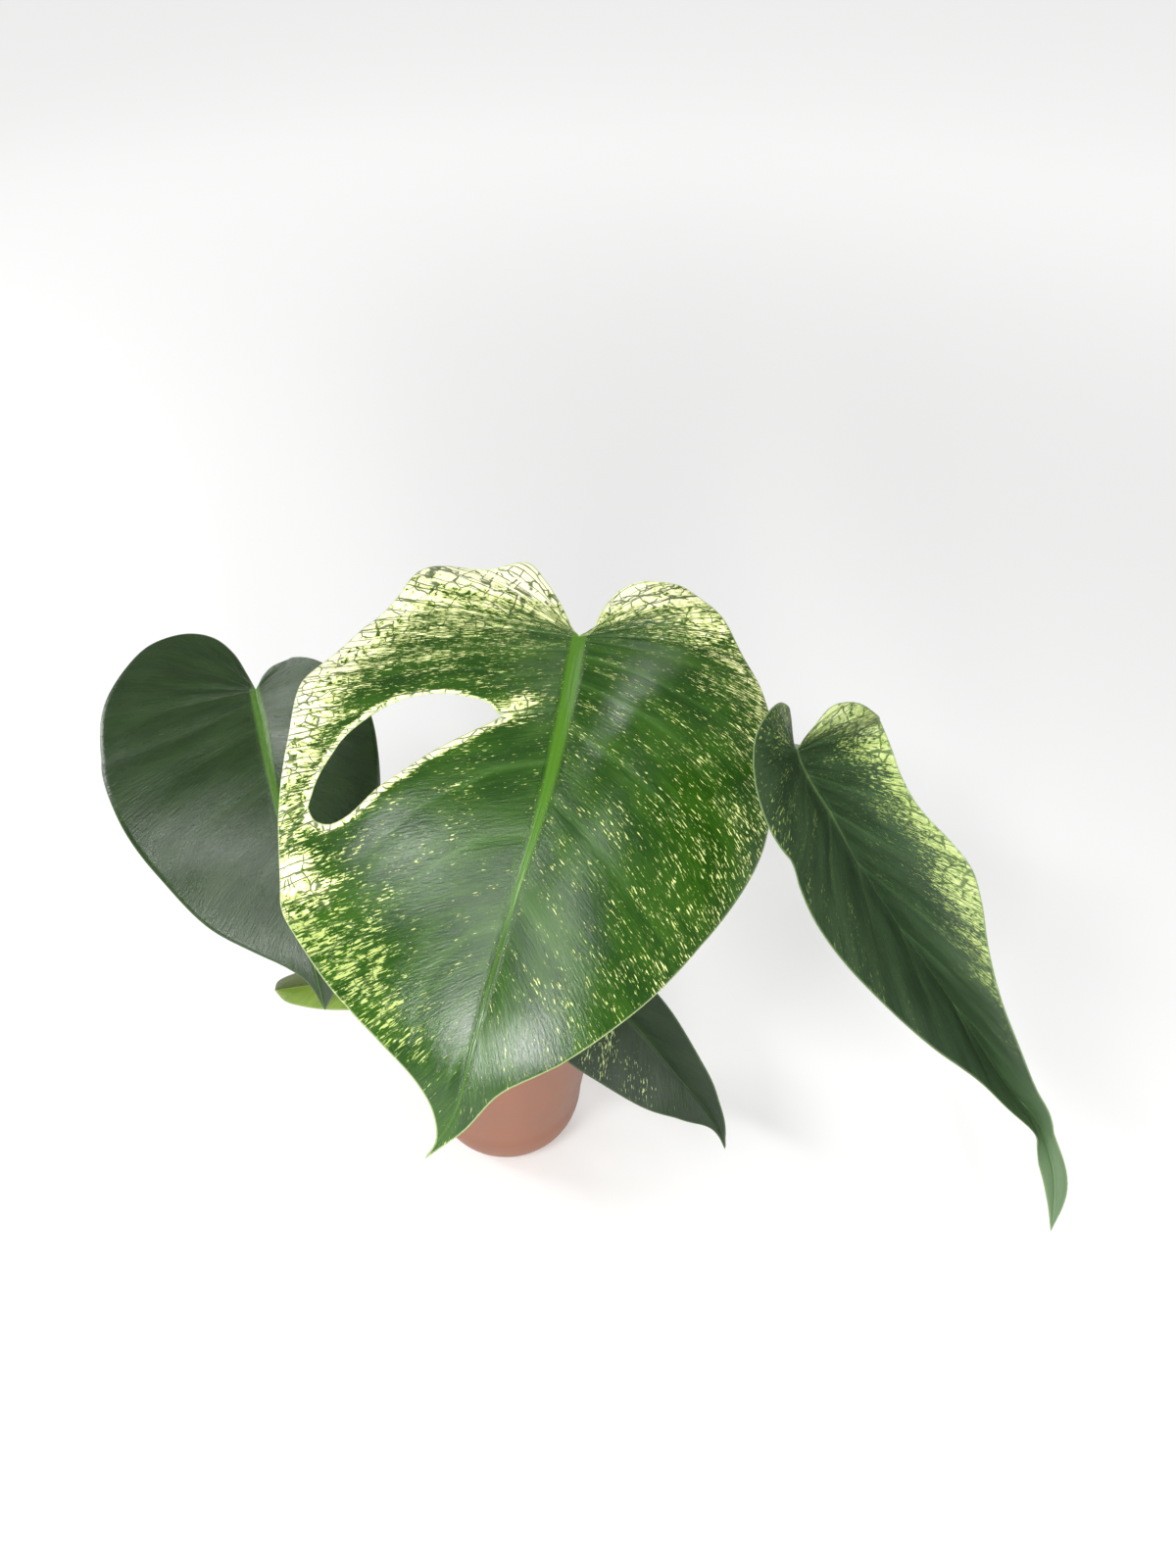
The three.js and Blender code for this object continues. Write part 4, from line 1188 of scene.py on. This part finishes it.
    # The dark net of small veins that shows in the cream: long lines that fan out, and cross cells
    broken = ranged(tree, noise_of(tree, stretched(grain, *NET_BREAKS), 1), 0.42, 0.5)
    cross_net = math_of(tree, "MULTIPLY", cracks(lumpy, *NET_CELLS, 0.95), broken)
    long_net = math_of(tree, "MAXIMUM", *(fan(*line, 1.0) for line in NET_LINES))
    net = math_of(tree, "MAXIMUM", long_net, cross_net)
    in_cream = ranged(tree, level, -0.06, 0.04)
    net = math_of(tree, "MULTIPLY", net, in_cream)
    colour = mixed(tree, math_of(tree, "MULTIPLY", net, look["net"]), colour, look["net_green"])

    # Side veins, midrib, a painted sheen towards the tip, margin, painted shade on the left half and the
    # duller underside
    colour = mixed(tree, math_of(tree, "MULTIPLY", vein, look["vein_shows"]), colour, look["vein"])
    on_rib = math_of(tree, "MULTIPLY", middle_line, 0.4)
    on_rib = math_of(tree, "MAXIMUM", ranged(tree, rib, *look["rib_reach"]), on_rib)
    colour = mixed(tree, math_of(tree, "MULTIPLY", on_rib, look["rib_shows"]), colour, look["rib"])
    # Painted sheen: lighter and greyer towards the tip, where a look asks for it
    if "tip" in look:
        along = add(tree, "ShaderNodeSeparateXYZ", {0: flat}).outputs["Y"]
        colour = mixed(tree, ranged(tree, along, *look["tip_sheen_reach"], 0.0, 0.8), colour, look["tip"])
    colour = mixed(tree, ranged(tree, edge, 0.25, 0.8, look["margin_shows"], 0.0), colour, look["margin"])
    # Painted shade: the left half darker, where a look asks for it
    if "left_half_shade" in look:
        colour = mixed(tree, ranged(tree, beside, -0.5, 0.5, 0.85, 0.0), colour, look["left_half_shade"])
    below = mixed(tree, 0.6, colour, look["under"])
    colour = mixed(tree, under, colour, below)
    tree.links.new(colour, shader.inputs["Base Color"])

    wrinkle = noise_of(tree, stretched(wavy, *WRINKLES), 1, detail=5, roughness=0.65)
    wrinkle = math_of(tree, "MULTIPLY", wrinkle, math_of(tree, "SUBTRACT", 1.0, middle_line))
    pores = noise_of(tree, stretched(grain, *PORES), 1, detail=2)
    relief = bumped(tree, wrinkle, look["wrinkle"])
    relief = bumped(tree, pores, 0.00004, under=relief)
    relief = bumped(tree, math_of(tree, "SUBTRACT", 1.0, net), 0.00010, under=relief)
    tree.links.new(relief, shader.inputs["Normal"])
    shine = ranged(tree, broad, 0.3, 0.7, look["rough"] - 0.04, look["rough"] + 0.04)
    tree.links.new(math_of(tree, "MULTIPLY_ADD", under, 0.25, shine), shader.inputs["Roughness"])
    shader.inputs["Specular IOR Level"].default_value = look["shine"]
    return finish


MAIN_LOOK = {
    "dark": (0.010, 0.044, 0.002, 1),
    "light": (0.028, 0.086, 0.005, 1),
    "fringe": (0.13, 0.23, 0.03, 1),
    "cream": (0.66, 0.72, 0.26, 1),
    "pale": (0.93, 0.92, 0.60, 1),
    "net_green": (0.022, 0.065, 0.004, 1),
    "vein": (0.09, 0.20, 0.04, 1),
    "rib": (0.062, 0.17, 0.009, 1),
    "margin": (0.42, 0.52, 0.20, 1),
    "under": (0.22, 0.32, 0.14, 1),
    "fleck": (4.4, 0.8),
    "net": 0.92,
    "vein_shows": 0.28,
    "rib_shows": 0.95,
    "rib_reach": (0.12, 0.5),
    "margin_shows": 0.6,
    "wrinkle": 0.00021,
    "rough": 0.095,
    "shine": 0.4,
}

main_blade = Blade(MAIN_BLADE)
main_mesh = blade_mesh("leaf_main_blade", main_blade, holed=True)
main_leaf = put("leaf_main_blade", main_mesh, blade_skin("waxy_blade_streaked", MAIN_LOOK))
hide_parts("leaf_main")
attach(main_leaf, "root")


# The left blade: a plain dark leaf behind the largest one, a little hollow, with a light midrib
# at its top only and side veins that hardly show.
LEFT_BLADE = {
    "midrib": [
        (-132, 112, 294), (-122, 61, 284), (-116, 42, 276), (-109, 17, 262), (-101, -8, 241),
        (-94, -30, 214), (-88, -46, 188), (-85, -54, 166),
    ],
    "facing": [(-0.15, -0.65, 0.7), (-0.15, -0.7, 0.7)],
    "rib": 2.2,
    "columns": 34,
    "ripple": {"height": 1.5, "waves": 2.5, "phase": 2, "lobe": 0.2},
    "quilt": 0.6,
    "face_rib": 0.4,
    "right": {
        "fold": [(0, 28)],
        "droop": 0.004,
        "veins": [-1, -0.7, -0.4, -0.1, 0.12, 0.34, 0.56, 0.78, 1],
        "edge": [
            (0, 0), (7, -5), (17, -5), (30, -0.5), (45, 9.5), (58, 23), (67, 40), (67, 58), (60, 84),
            (36, 126), (21, 149), (8, 165),
        ],
    },
    "left": {
        "fold": [(0, 16)],
        "droop": 0.002,
        "veins": [-1, -0.75, -0.5, -0.25, 0.0, 0.15, 0.32, 0.5, 0.7, 1],
        "edge": [
            (0, 0), (4, -12), (11, -29), (22, -43), (38, -50), (56, -46.5), (70, -30), (81.5, -5), (84.5, 25),
            (78, 55), (63, 90), (47, 117), (28, 134.5), (13, 147.5), (5, 158),
        ],
    },
}
LEFT_LOOK = {
    **MAIN_LOOK,
    "dark": (0.010, 0.028, 0.005, 1),
    "light": (0.018, 0.042, 0.009, 1),
    "fringe": (0.10, 0.16, 0.06, 1),
    "vein": (0.05, 0.10, 0.03, 1),
    "rib": (0.060, 0.15, 0.012, 1),
    "margin": (0.08, 0.12, 0.05, 1),
    "under": (0.10, 0.16, 0.07, 1),
    "net_green": (0.02, 0.05, 0.012, 1),
    "net": 0.3,
    "vein_shows": 0.1,
    "rib_shows": 0.8,
    "wrinkle": 0.0003,
    "rough": 0.28,
    "shine": 0.36,
}
left_blade = Blade(LEFT_BLADE)
left_mesh = blade_mesh("leaf_left_blade", left_blade)
left_leaf = put("leaf_left_blade", left_mesh, blade_skin("waxy_blade_dark", LEFT_LOOK))
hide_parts("leaf_left")
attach(left_leaf, "root")


# The right blade: a long folded leaf whose two halves stand up from the midrib like a keel, with
# a slender tip that turns aside. Its upper right margin is cream with a dark net of veins.
RIGHT_BLADE = {
    "midrib": [
        (141, -23, 345), (140, -44, 332), (146.5, -54, 321.5), (154, -60, 312), (168, -72, 291),
        (189, -85, 263), (219, -102, 225), (243, -116, 192), (258, -122, 175), (265, -126, 163),
        (271, -135, 148), (273, -142, 134), (273, -150, 119),
    ],
    "facing": [(-0.05, -0.9, 0.44), (-0.05, -0.9, 0.44)],
    "rib": 2,
    "columns": 36,
    "ripple": {"height": 1.2, "waves": 4, "phase": 1, "lobe": 0.2},
    "quilt": 0.5,
    "face_rib": 0.4,
    "right": {
        "fold": [(-0.1, 58), (0, 56), (0.3, 58), (0.8, 62), (0.87, 15), (1, 5)],
        "droop": 0.006,
        "veins": [-1, -0.75, -0.5, -0.25, 0.0, 0.14, 0.28, 0.42, 0.56, 0.7, 0.85, 1],
        "edge": [
            (0, 0), (10, -7), (21.5, -15.5), (34, -14), (45.5, -4), (53, 7), (49.5, 32), (55.5, 51.5),
            (57.5, 65), (53.5, 80), (42.5, 107), (33, 135), (25, 170), (17, 198), (6, 228), (5.5, 258),
        ],
        "flecks": 0.03,
        "cream": [
            (-0.7, 0.8, 0.6, 0.7, 0.9),
            (0.05, 1.0, 0.3, 0.36, 0.5),
            (0.3, 1.0, 0.2, 0.25, 0.46),
        ],
    },
    "left": {
        "fold": [(-0.1, 84), (-0.05, 80), (0, 74), (0.15, 62), (0.5, 60), (0.8, 62), (0.86, 20), (1, 10)],
        "droop": 0.006,
        "veins": [-1, -0.75, -0.5, -0.25, 0.0, 0.14, 0.28, 0.42, 0.56, 0.7, 0.85, 1],
        "edge": [
            (0, 0), (8, -7), (20, -11), (34, -9.5), (42, -4.5), (44.5, 5.5), (45.5, 17), (42, 32), (45, 55),
            (43.5, 75), (37, 105), (27, 143), (15, 177), (10, 207), (7, 221), (6, 246),
        ],
        "flecks": 0.02,
        "cream": [(-0.5, 0.8, 0.6, 0.7, 0.4)],
    },
}
RIGHT_LOOK = {
    **MAIN_LOOK,
    "dark": (0.016, 0.036, 0.013, 1),
    "light": (0.032, 0.064, 0.025, 1),
    "fringe": (0.15, 0.25, 0.04, 1),
    "cream": (0.30, 0.38, 0.11, 1),
    "pale": (0.46, 0.53, 0.22, 1),
    "net_green": (0.03, 0.07, 0.012, 1),
    "vein": (0.08, 0.15, 0.05, 1),
    "rib": (0.13, 0.22, 0.08, 1),
    "rib_reach": (0.7, 0.9),
    # Painted sheen: the blade turns lighter and greyer towards its tip
    "tip": (0.080, 0.150, 0.058, 1),
    "tip_sheen_reach": (150, 255),
    "margin": (0.16, 0.24, 0.08, 1),
    "under": (0.14, 0.22, 0.09, 1),
    "fleck": (2.6, 0.7),
    "net": 0.85,
    "vein_shows": 0.3,
    "rib_shows": 0.6,
    "wrinkle": 0.0002,
    "rough": 0.42,
    "shine": 0.5,
}
right_blade = Blade(RIGHT_BLADE)
right_mesh = blade_mesh("leaf_right_blade", right_blade)
right_leaf = put("leaf_right_blade", right_mesh, blade_skin("waxy_blade_folded", RIGHT_LOOK))
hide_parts("leaf_right")
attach(right_leaf, "root")


# The lower blade: a small leaf that hangs below the largest one, with a thread-like tip and a few
# cream flecks along its left half. Its greens hold painted shade: they are darker than the left
# blade's, for the shade that the largest blade casts on it.
LOWER_BLADE = {
    "midrib": [
        (29, -9, 168), (45, -29, 170), (60, -44, 165), (78, -59, 154), (96, -74, 138),
        (108, -81, 125), (117, -87, 113), (122, -93, 99),
    ],
    "facing": [(-0.3, -0.55, 0.75), (-0.3, -0.55, 0.75)],
    "rib": 1.8,
    "columns": 30,
    "ripple": {"height": 0.8, "waves": 2, "phase": 0, "lobe": 1},
    "quilt": 0.4,
    "face_rib": 0.3,
    "right": {
        "fold": [(0, 50)],
        "droop": 0.01,
        "veins": [-1, -0.5, 0.0, 0.2, 0.4, 0.6, 0.8, 1],
        "edge": [(0, 0), (8, -3), (19, 1), (28, 12), (31, 30), (30, 48), (23, 76), (12, 100), (4, 118)],
    },
    "left": {
        "fold": [(0, 10)],
        "droop": 0.004,
        "veins": [-1, -0.5, 0.0, 0.2, 0.4, 0.6, 0.8, 1],
        "edge": [
            (0, 0), (4, -9), (14, -14), (27, -9), (36, 4), (39, 22), (35.5, 45.5), (27.5, 71), (14, 97),
            (4, 112), (1, 120),
        ],
        "cream": [(0.4, 0.7, 0.3, 0.35, 0.3)],
    },
}
LOWER_SHADED_LOOK = {
    **LEFT_LOOK,
    # Painted shade: greens darker than the left blade's, for the shade of the largest blade above
    "dark": (0.008, 0.019, 0.006, 1),
    "light": (0.014, 0.029, 0.010, 1),
    "fringe": (0.14, 0.2, 0.07, 1),
    "cream": (0.36, 0.42, 0.18, 1),
    "pale": (0.5, 0.55, 0.3, 1),
    "fleck": (3.4, 1.0),
    "rib_shows": 0.12,
    "rough": 0.5,
    "shine": 0.25,
}
lower_blade = Blade(LOWER_BLADE)
lower_mesh = blade_mesh("leaf_lower_blade", lower_blade)
lower_leaf = put("leaf_lower_blade", lower_mesh, blade_skin("waxy_blade_small", LOWER_SHADED_LOOK))
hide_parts("leaf_lower")
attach(lower_leaf, "root")


# The young blade: the newest leaf, small, thin and yellow-green, still half rolled, with painted
# shade that makes its left half, turned into the fold, darker than its right one.
YOUNG_BLADE = {
    "midrib": [
        (-34, -14, 138), (-42, -17, 143), (-62, -20, 150), (-84, -22, 150), (-104, -22, 146),
        (-121, -21, 141),
    ],
    "facing": [(0.15, -0.75, 0.65), (0.15, -0.75, 0.65)],
    "rib": 1.4,
    "columns": 26,
    "ripple": {"height": 0.3, "waves": 2, "phase": 0, "lobe": 1},
    "quilt": 0.2,
    "face_rib": 0.2,
    "right": {
        "fold": [(0, 35)],
        "droop": 0.01,
        "veins": [-1, -0.5, 0.0, 0.25, 0.5, 0.75, 1],
        "edge": [(0, 0), (4, -2), (10, 2), (15, 14), (17, 30), (15.5, 48), (11.5, 64), (7, 75)],
    },
    "left": {
        "fold": [(0, 52)],
        "droop": 0.01,
        "veins": [-1, -0.5, 0.0, 0.25, 0.5, 0.75, 1],
        "edge": [(0, 0), (4, -2), (10, 2), (15, 14), (17, 30), (16, 48), (13, 64), (8.5, 75)],
    },
}
YOUNG_LOOK = {
    **MAIN_LOOK,
    "dark": (0.13, 0.21, 0.025, 1),
    "light": (0.18, 0.27, 0.04, 1),
    "rib": (0.28, 0.40, 0.10, 1),
    "margin": (0.30, 0.34, 0.16, 1),
    "under": (0.30, 0.40, 0.16, 1),
    # Painted shade on the left half, which lies in the shaded fold
    "left_half_shade": (0.045, 0.048, 0.03, 1),
    "net": 0.1,
    "rough": 0.3,
}
young_blade = Blade(YOUNG_BLADE)
young_mesh = blade_mesh("leaf_young_blade", young_blade)
young_leaf = put("leaf_young_blade", young_mesh, blade_skin("soft_young_blade", YOUNG_LOOK))
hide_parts("leaf_young")
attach(young_leaf, "root")


# The leaf stalks: round green stalks with a shallow channel along the upper side. Each one widens
# into a sheath where it leaves the stem, and thickens again at the knee below its blade.
SHEATH_LENGTH = 0.034
CHANNEL_DEPTH = 0.16
SHEATH_SWELLS = 0.75
KNEE_SWELLS = 0.16
STALK_TAPER = 0.1
STALK_SIDES = 28
STALK_POINT_GAP = 1.5
SEAT_AHEAD = 2
SEAT_DEPTH = 0.4
STALKS = {
    "main": {
        "radius": 3.9,
        "knee": 13,
        "route": [(-1, 2, 127), (-4, 11, 138), (8, 19, 190), (32, 24, 270), (45, 22, 325)],
    },
    "left": {
        "radius": 3.6,
        "knee": 13,
        "route": [(-2, 1, 105), (-10, 6, 114), (-46, 34, 172), (-92, 66, 240), (-116, 70, 268)],
    },
    "right": {
        "radius": 3.7,
        "knee": 13,
        "route": [
            (1, 0, 115), (10, 2, 125), (38, 7, 162), (82, 12, 212), (124, 10, 262), (144, 0, 293),
            (147, -18, 309),
        ],
    },
    "lower": {
        "radius": 2.8,
        "knee": 9,
        "route": [(1, -2, 102), (6, -8, 108), (21, -16, 124), (38, -20, 144)],
    },
    "young": {
        "radius": 2.3,
        "knee": 6,
        "route": [(-1, 0, 134), (-7, -1, 141), (-24, 0, 146), (-42, -4, 143)],
    },
}
BLADES = {
    "main": main_blade,
    "left": left_blade,
    "right": right_blade,
    "lower": lower_blade,
    "young": young_blade,
}
STALK_GREEN = (0.10, 0.22, 0.04, 1)
STALK_LIGHT = (0.17, 0.32, 0.06, 1)
SHEATH_BROWN = (0.20, 0.15, 0.07, 1)
STALK_CLOUDS = 130
STALK_GRAIN = 1500
LIGHT_BELOW_BLADE = 0.03
DRY_ABOVE_STEM = 0.03


def stalk_tree():
    """Geometry nodes that draw a stalk along a line from the stem to its blade."""
    tree = bpy.data.node_groups.new("stalk_along_route", "GeometryNodeTree")
    face = tree.interface
    face.new_socket("Geometry", in_out="INPUT", socket_type="NodeSocketGeometry")
    for label in ("Radius", "Knee", "Sheath", "Channel"):
        face.new_socket(label, in_out="INPUT", socket_type="NodeSocketFloat")
    face.new_socket("Sides", in_out="INPUT", socket_type="NodeSocketInt")
    face.new_socket("Material", in_out="INPUT", socket_type="NodeSocketMaterial")
    face.new_socket("Geometry", in_out="OUTPUT", socket_type="NodeSocketGeometry")
    given = tree.nodes.new("NodeGroupInput").outputs

    def sum_of(operation, first, second=0.0):
        """The result of one sum in this tree."""
        return math_of(tree, operation, first, second)

    def stored(geometry, name, value):
        """A line with a value kept under a name at each of its points."""
        kept = {"Geometry": geometry, "Name": name, "Value": value}
        made = add(tree, "GeometryNodeStoreNamedAttribute", kept, data_type="FLOAT", domain="POINT")
        return made.outputs[0]

    along = add(tree, "GeometryNodeSplineParameter").outputs["Length"]
    whole = add(tree, "GeometryNodeSplineLength").outputs["Length"]
    left_over = sum_of("MAXIMUM", sum_of("SUBTRACT", 1.0, sum_of("DIVIDE", along, given["Sheath"])), 0.0)
    sheath = sum_of("MULTIPLY", sum_of("POWER", left_over, 1.2), SHEATH_SWELLS)
    to_blade = sum_of("SUBTRACT", whole, along)
    to_knee = sum_of("SUBTRACT", to_blade, sum_of("MULTIPLY", given["Knee"], 0.8))
    off = sum_of("DIVIDE", to_knee, sum_of("MULTIPLY", given["Knee"], 0.5))
    fading = sum_of("EXPONENT", sum_of("MULTIPLY", sum_of("MULTIPLY", off, off), -1.0))
    swelling = sum_of("MULTIPLY", fading, KNEE_SWELLS)
    taper = sum_of("SUBTRACT", 1.0, sum_of("MULTIPLY", sum_of("DIVIDE", along, whole), STALK_TAPER))
    stout = sum_of("MULTIPLY", sum_of("ADD", sum_of("ADD", sheath, swelling), 1.0), taper)
    radius = sum_of("MULTIPLY", stout, given["Radius"])
    marked = stored(stored(given["Geometry"], "from_stem", along), "to_blade", to_blade)
    circle = add(tree, "GeometryNodeCurvePrimitiveCircle", {"Resolution": given["Sides"], "Radius": 1.0})
    split = add(tree, "ShaderNodeSeparateXYZ", {0: add(tree, "GeometryNodeInputPosition").outputs[0]})
    near = sum_of("MULTIPLY", sum_of("MULTIPLY", split.outputs["X"], split.outputs["X"]), -5.0)
    upward = {"Value": split.outputs["Y"], "From Min": 0.0, "From Max": 0.6}
    upper = add(tree, "ShaderNodeMapRange", upward).outputs["Result"]
    dip = sum_of("MULTIPLY", sum_of("MULTIPLY", sum_of("EXPONENT", near), upper), given["Channel"])
    sink = add(tree, "ShaderNodeCombineXYZ", {"Y": sum_of("MULTIPLY", dip, -1.0)})
    section = add(tree, "GeometryNodeSetPosition", {"Geometry": circle.outputs[0], "Offset": sink.outputs[0]})
    swept = {"Curve": marked, "Profile Curve": section.outputs[0], "Scale": radius, "Fill Caps": True}
    tube = add(tree, "GeometryNodeCurveToMesh", swept)
    solid = add(tree, "GeometryNodeRealizeInstances", {0: tube.outputs[0]}).outputs[0]
    painted = add(tree, "GeometryNodeSetMaterial", {"Geometry": solid, "Material": given["Material"]})
    out = tree.nodes.new("NodeGroupOutput")
    tree.links.new(painted.outputs[0], out.inputs[0])
    return tree


def stalk_skin():
    """A smooth green skin, lighter below the blade and dry and brown on the sheath."""
    finish, shader = new_finish("smooth_green_stalk")
    tree = finish.node_tree
    where = add(tree, "ShaderNodeTexCoord").outputs["Object"]
    from_stem = add(tree, "ShaderNodeAttribute", attribute_name="from_stem").outputs["Fac"]
    to_blade = add(tree, "ShaderNodeAttribute", attribute_name="to_blade").outputs["Fac"]
    cloud = noise_of(tree, where, STALK_CLOUDS, detail=4)
    fine = noise_of(tree, where, STALK_GRAIN, detail=3)
    colour = mixed(tree, ranged(tree, cloud, 0.35, 0.65), STALK_GREEN, STALK_LIGHT)
    near_blade = ranged(tree, to_blade, 0.0, LIGHT_BELOW_BLADE, 0.6, 0.0)
    colour = mixed(tree, near_blade, colour, STALK_LIGHT)
    near_stem = ranged(tree, from_stem, 0.0, DRY_ABOVE_STEM, 0.8, 0.0)
    dry = math_of(tree, "MULTIPLY", near_stem, ranged(tree, cloud, 0.3, 0.6))
    colour = mixed(tree, dry, colour, SHEATH_BROWN)
    tree.links.new(colour, shader.inputs["Base Color"])
    tree.links.new(ranged(tree, cloud, 0.3, 0.7, 0.36, 0.5), shader.inputs["Roughness"])
    relief = bumped(tree, cloud, 0.0002)
    relief = bumped(tree, fine, 0.00005, under=relief)
    tree.links.new(relief, shader.inputs["Normal"])
    return finish


stalk_finish = stalk_skin()
drawn_stalk = stalk_tree()
for stalk_name, stalk in STALKS.items():
    blade = BLADES[stalk_name]
    origin, along, normal, _ = (part[0] for part in blade.frames(np.zeros(1)))
    seat = origin + SEAT_AHEAD * along - normal * (blade.rib_depth(0.0) - SEAT_DEPTH)
    knee = seat - stalk["knee"] * normal
    line, far = line_through([*stalk["route"], knee, seat])
    stops = np.linspace(0, far[-1], math.ceil(far[-1] / STALK_POINT_GAP) + 1)
    points = np.stack([np.interp(stops, far, line[:, k]) for k in range(3)], -1) * MILLIMETRE
    curve = bpy.data.curves.new(stalk_name, "CURVE")
    curve.dimensions = "3D"
    spline = curve.splines.new("POLY")
    spline.points.add(len(points) - 1)
    spline.points.foreach_set("co", np.c_[points, np.ones(len(points))].ravel())
    route = bpy.data.objects.new(stalk_name, curve)
    bpy.context.scene.collection.objects.link(route)
    stalk_values = {
        "Radius": stalk["radius"] * MILLIMETRE,
        "Knee": stalk["knee"] * MILLIMETRE,
        "Sheath": SHEATH_LENGTH,
        "Channel": CHANNEL_DEPTH,
        "Sides": STALK_SIDES,
        "Material": stalk_finish,
    }
    stalk_mesh = grown(f"petiole_{stalk_name}_stalk", route, drawn_stalk, stalk_values)
    piece = put(f"petiole_{stalk_name}_stalk", stalk_mesh, stalk_finish)
    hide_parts(f"petiole_{stalk_name}")
    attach(piece, "root")
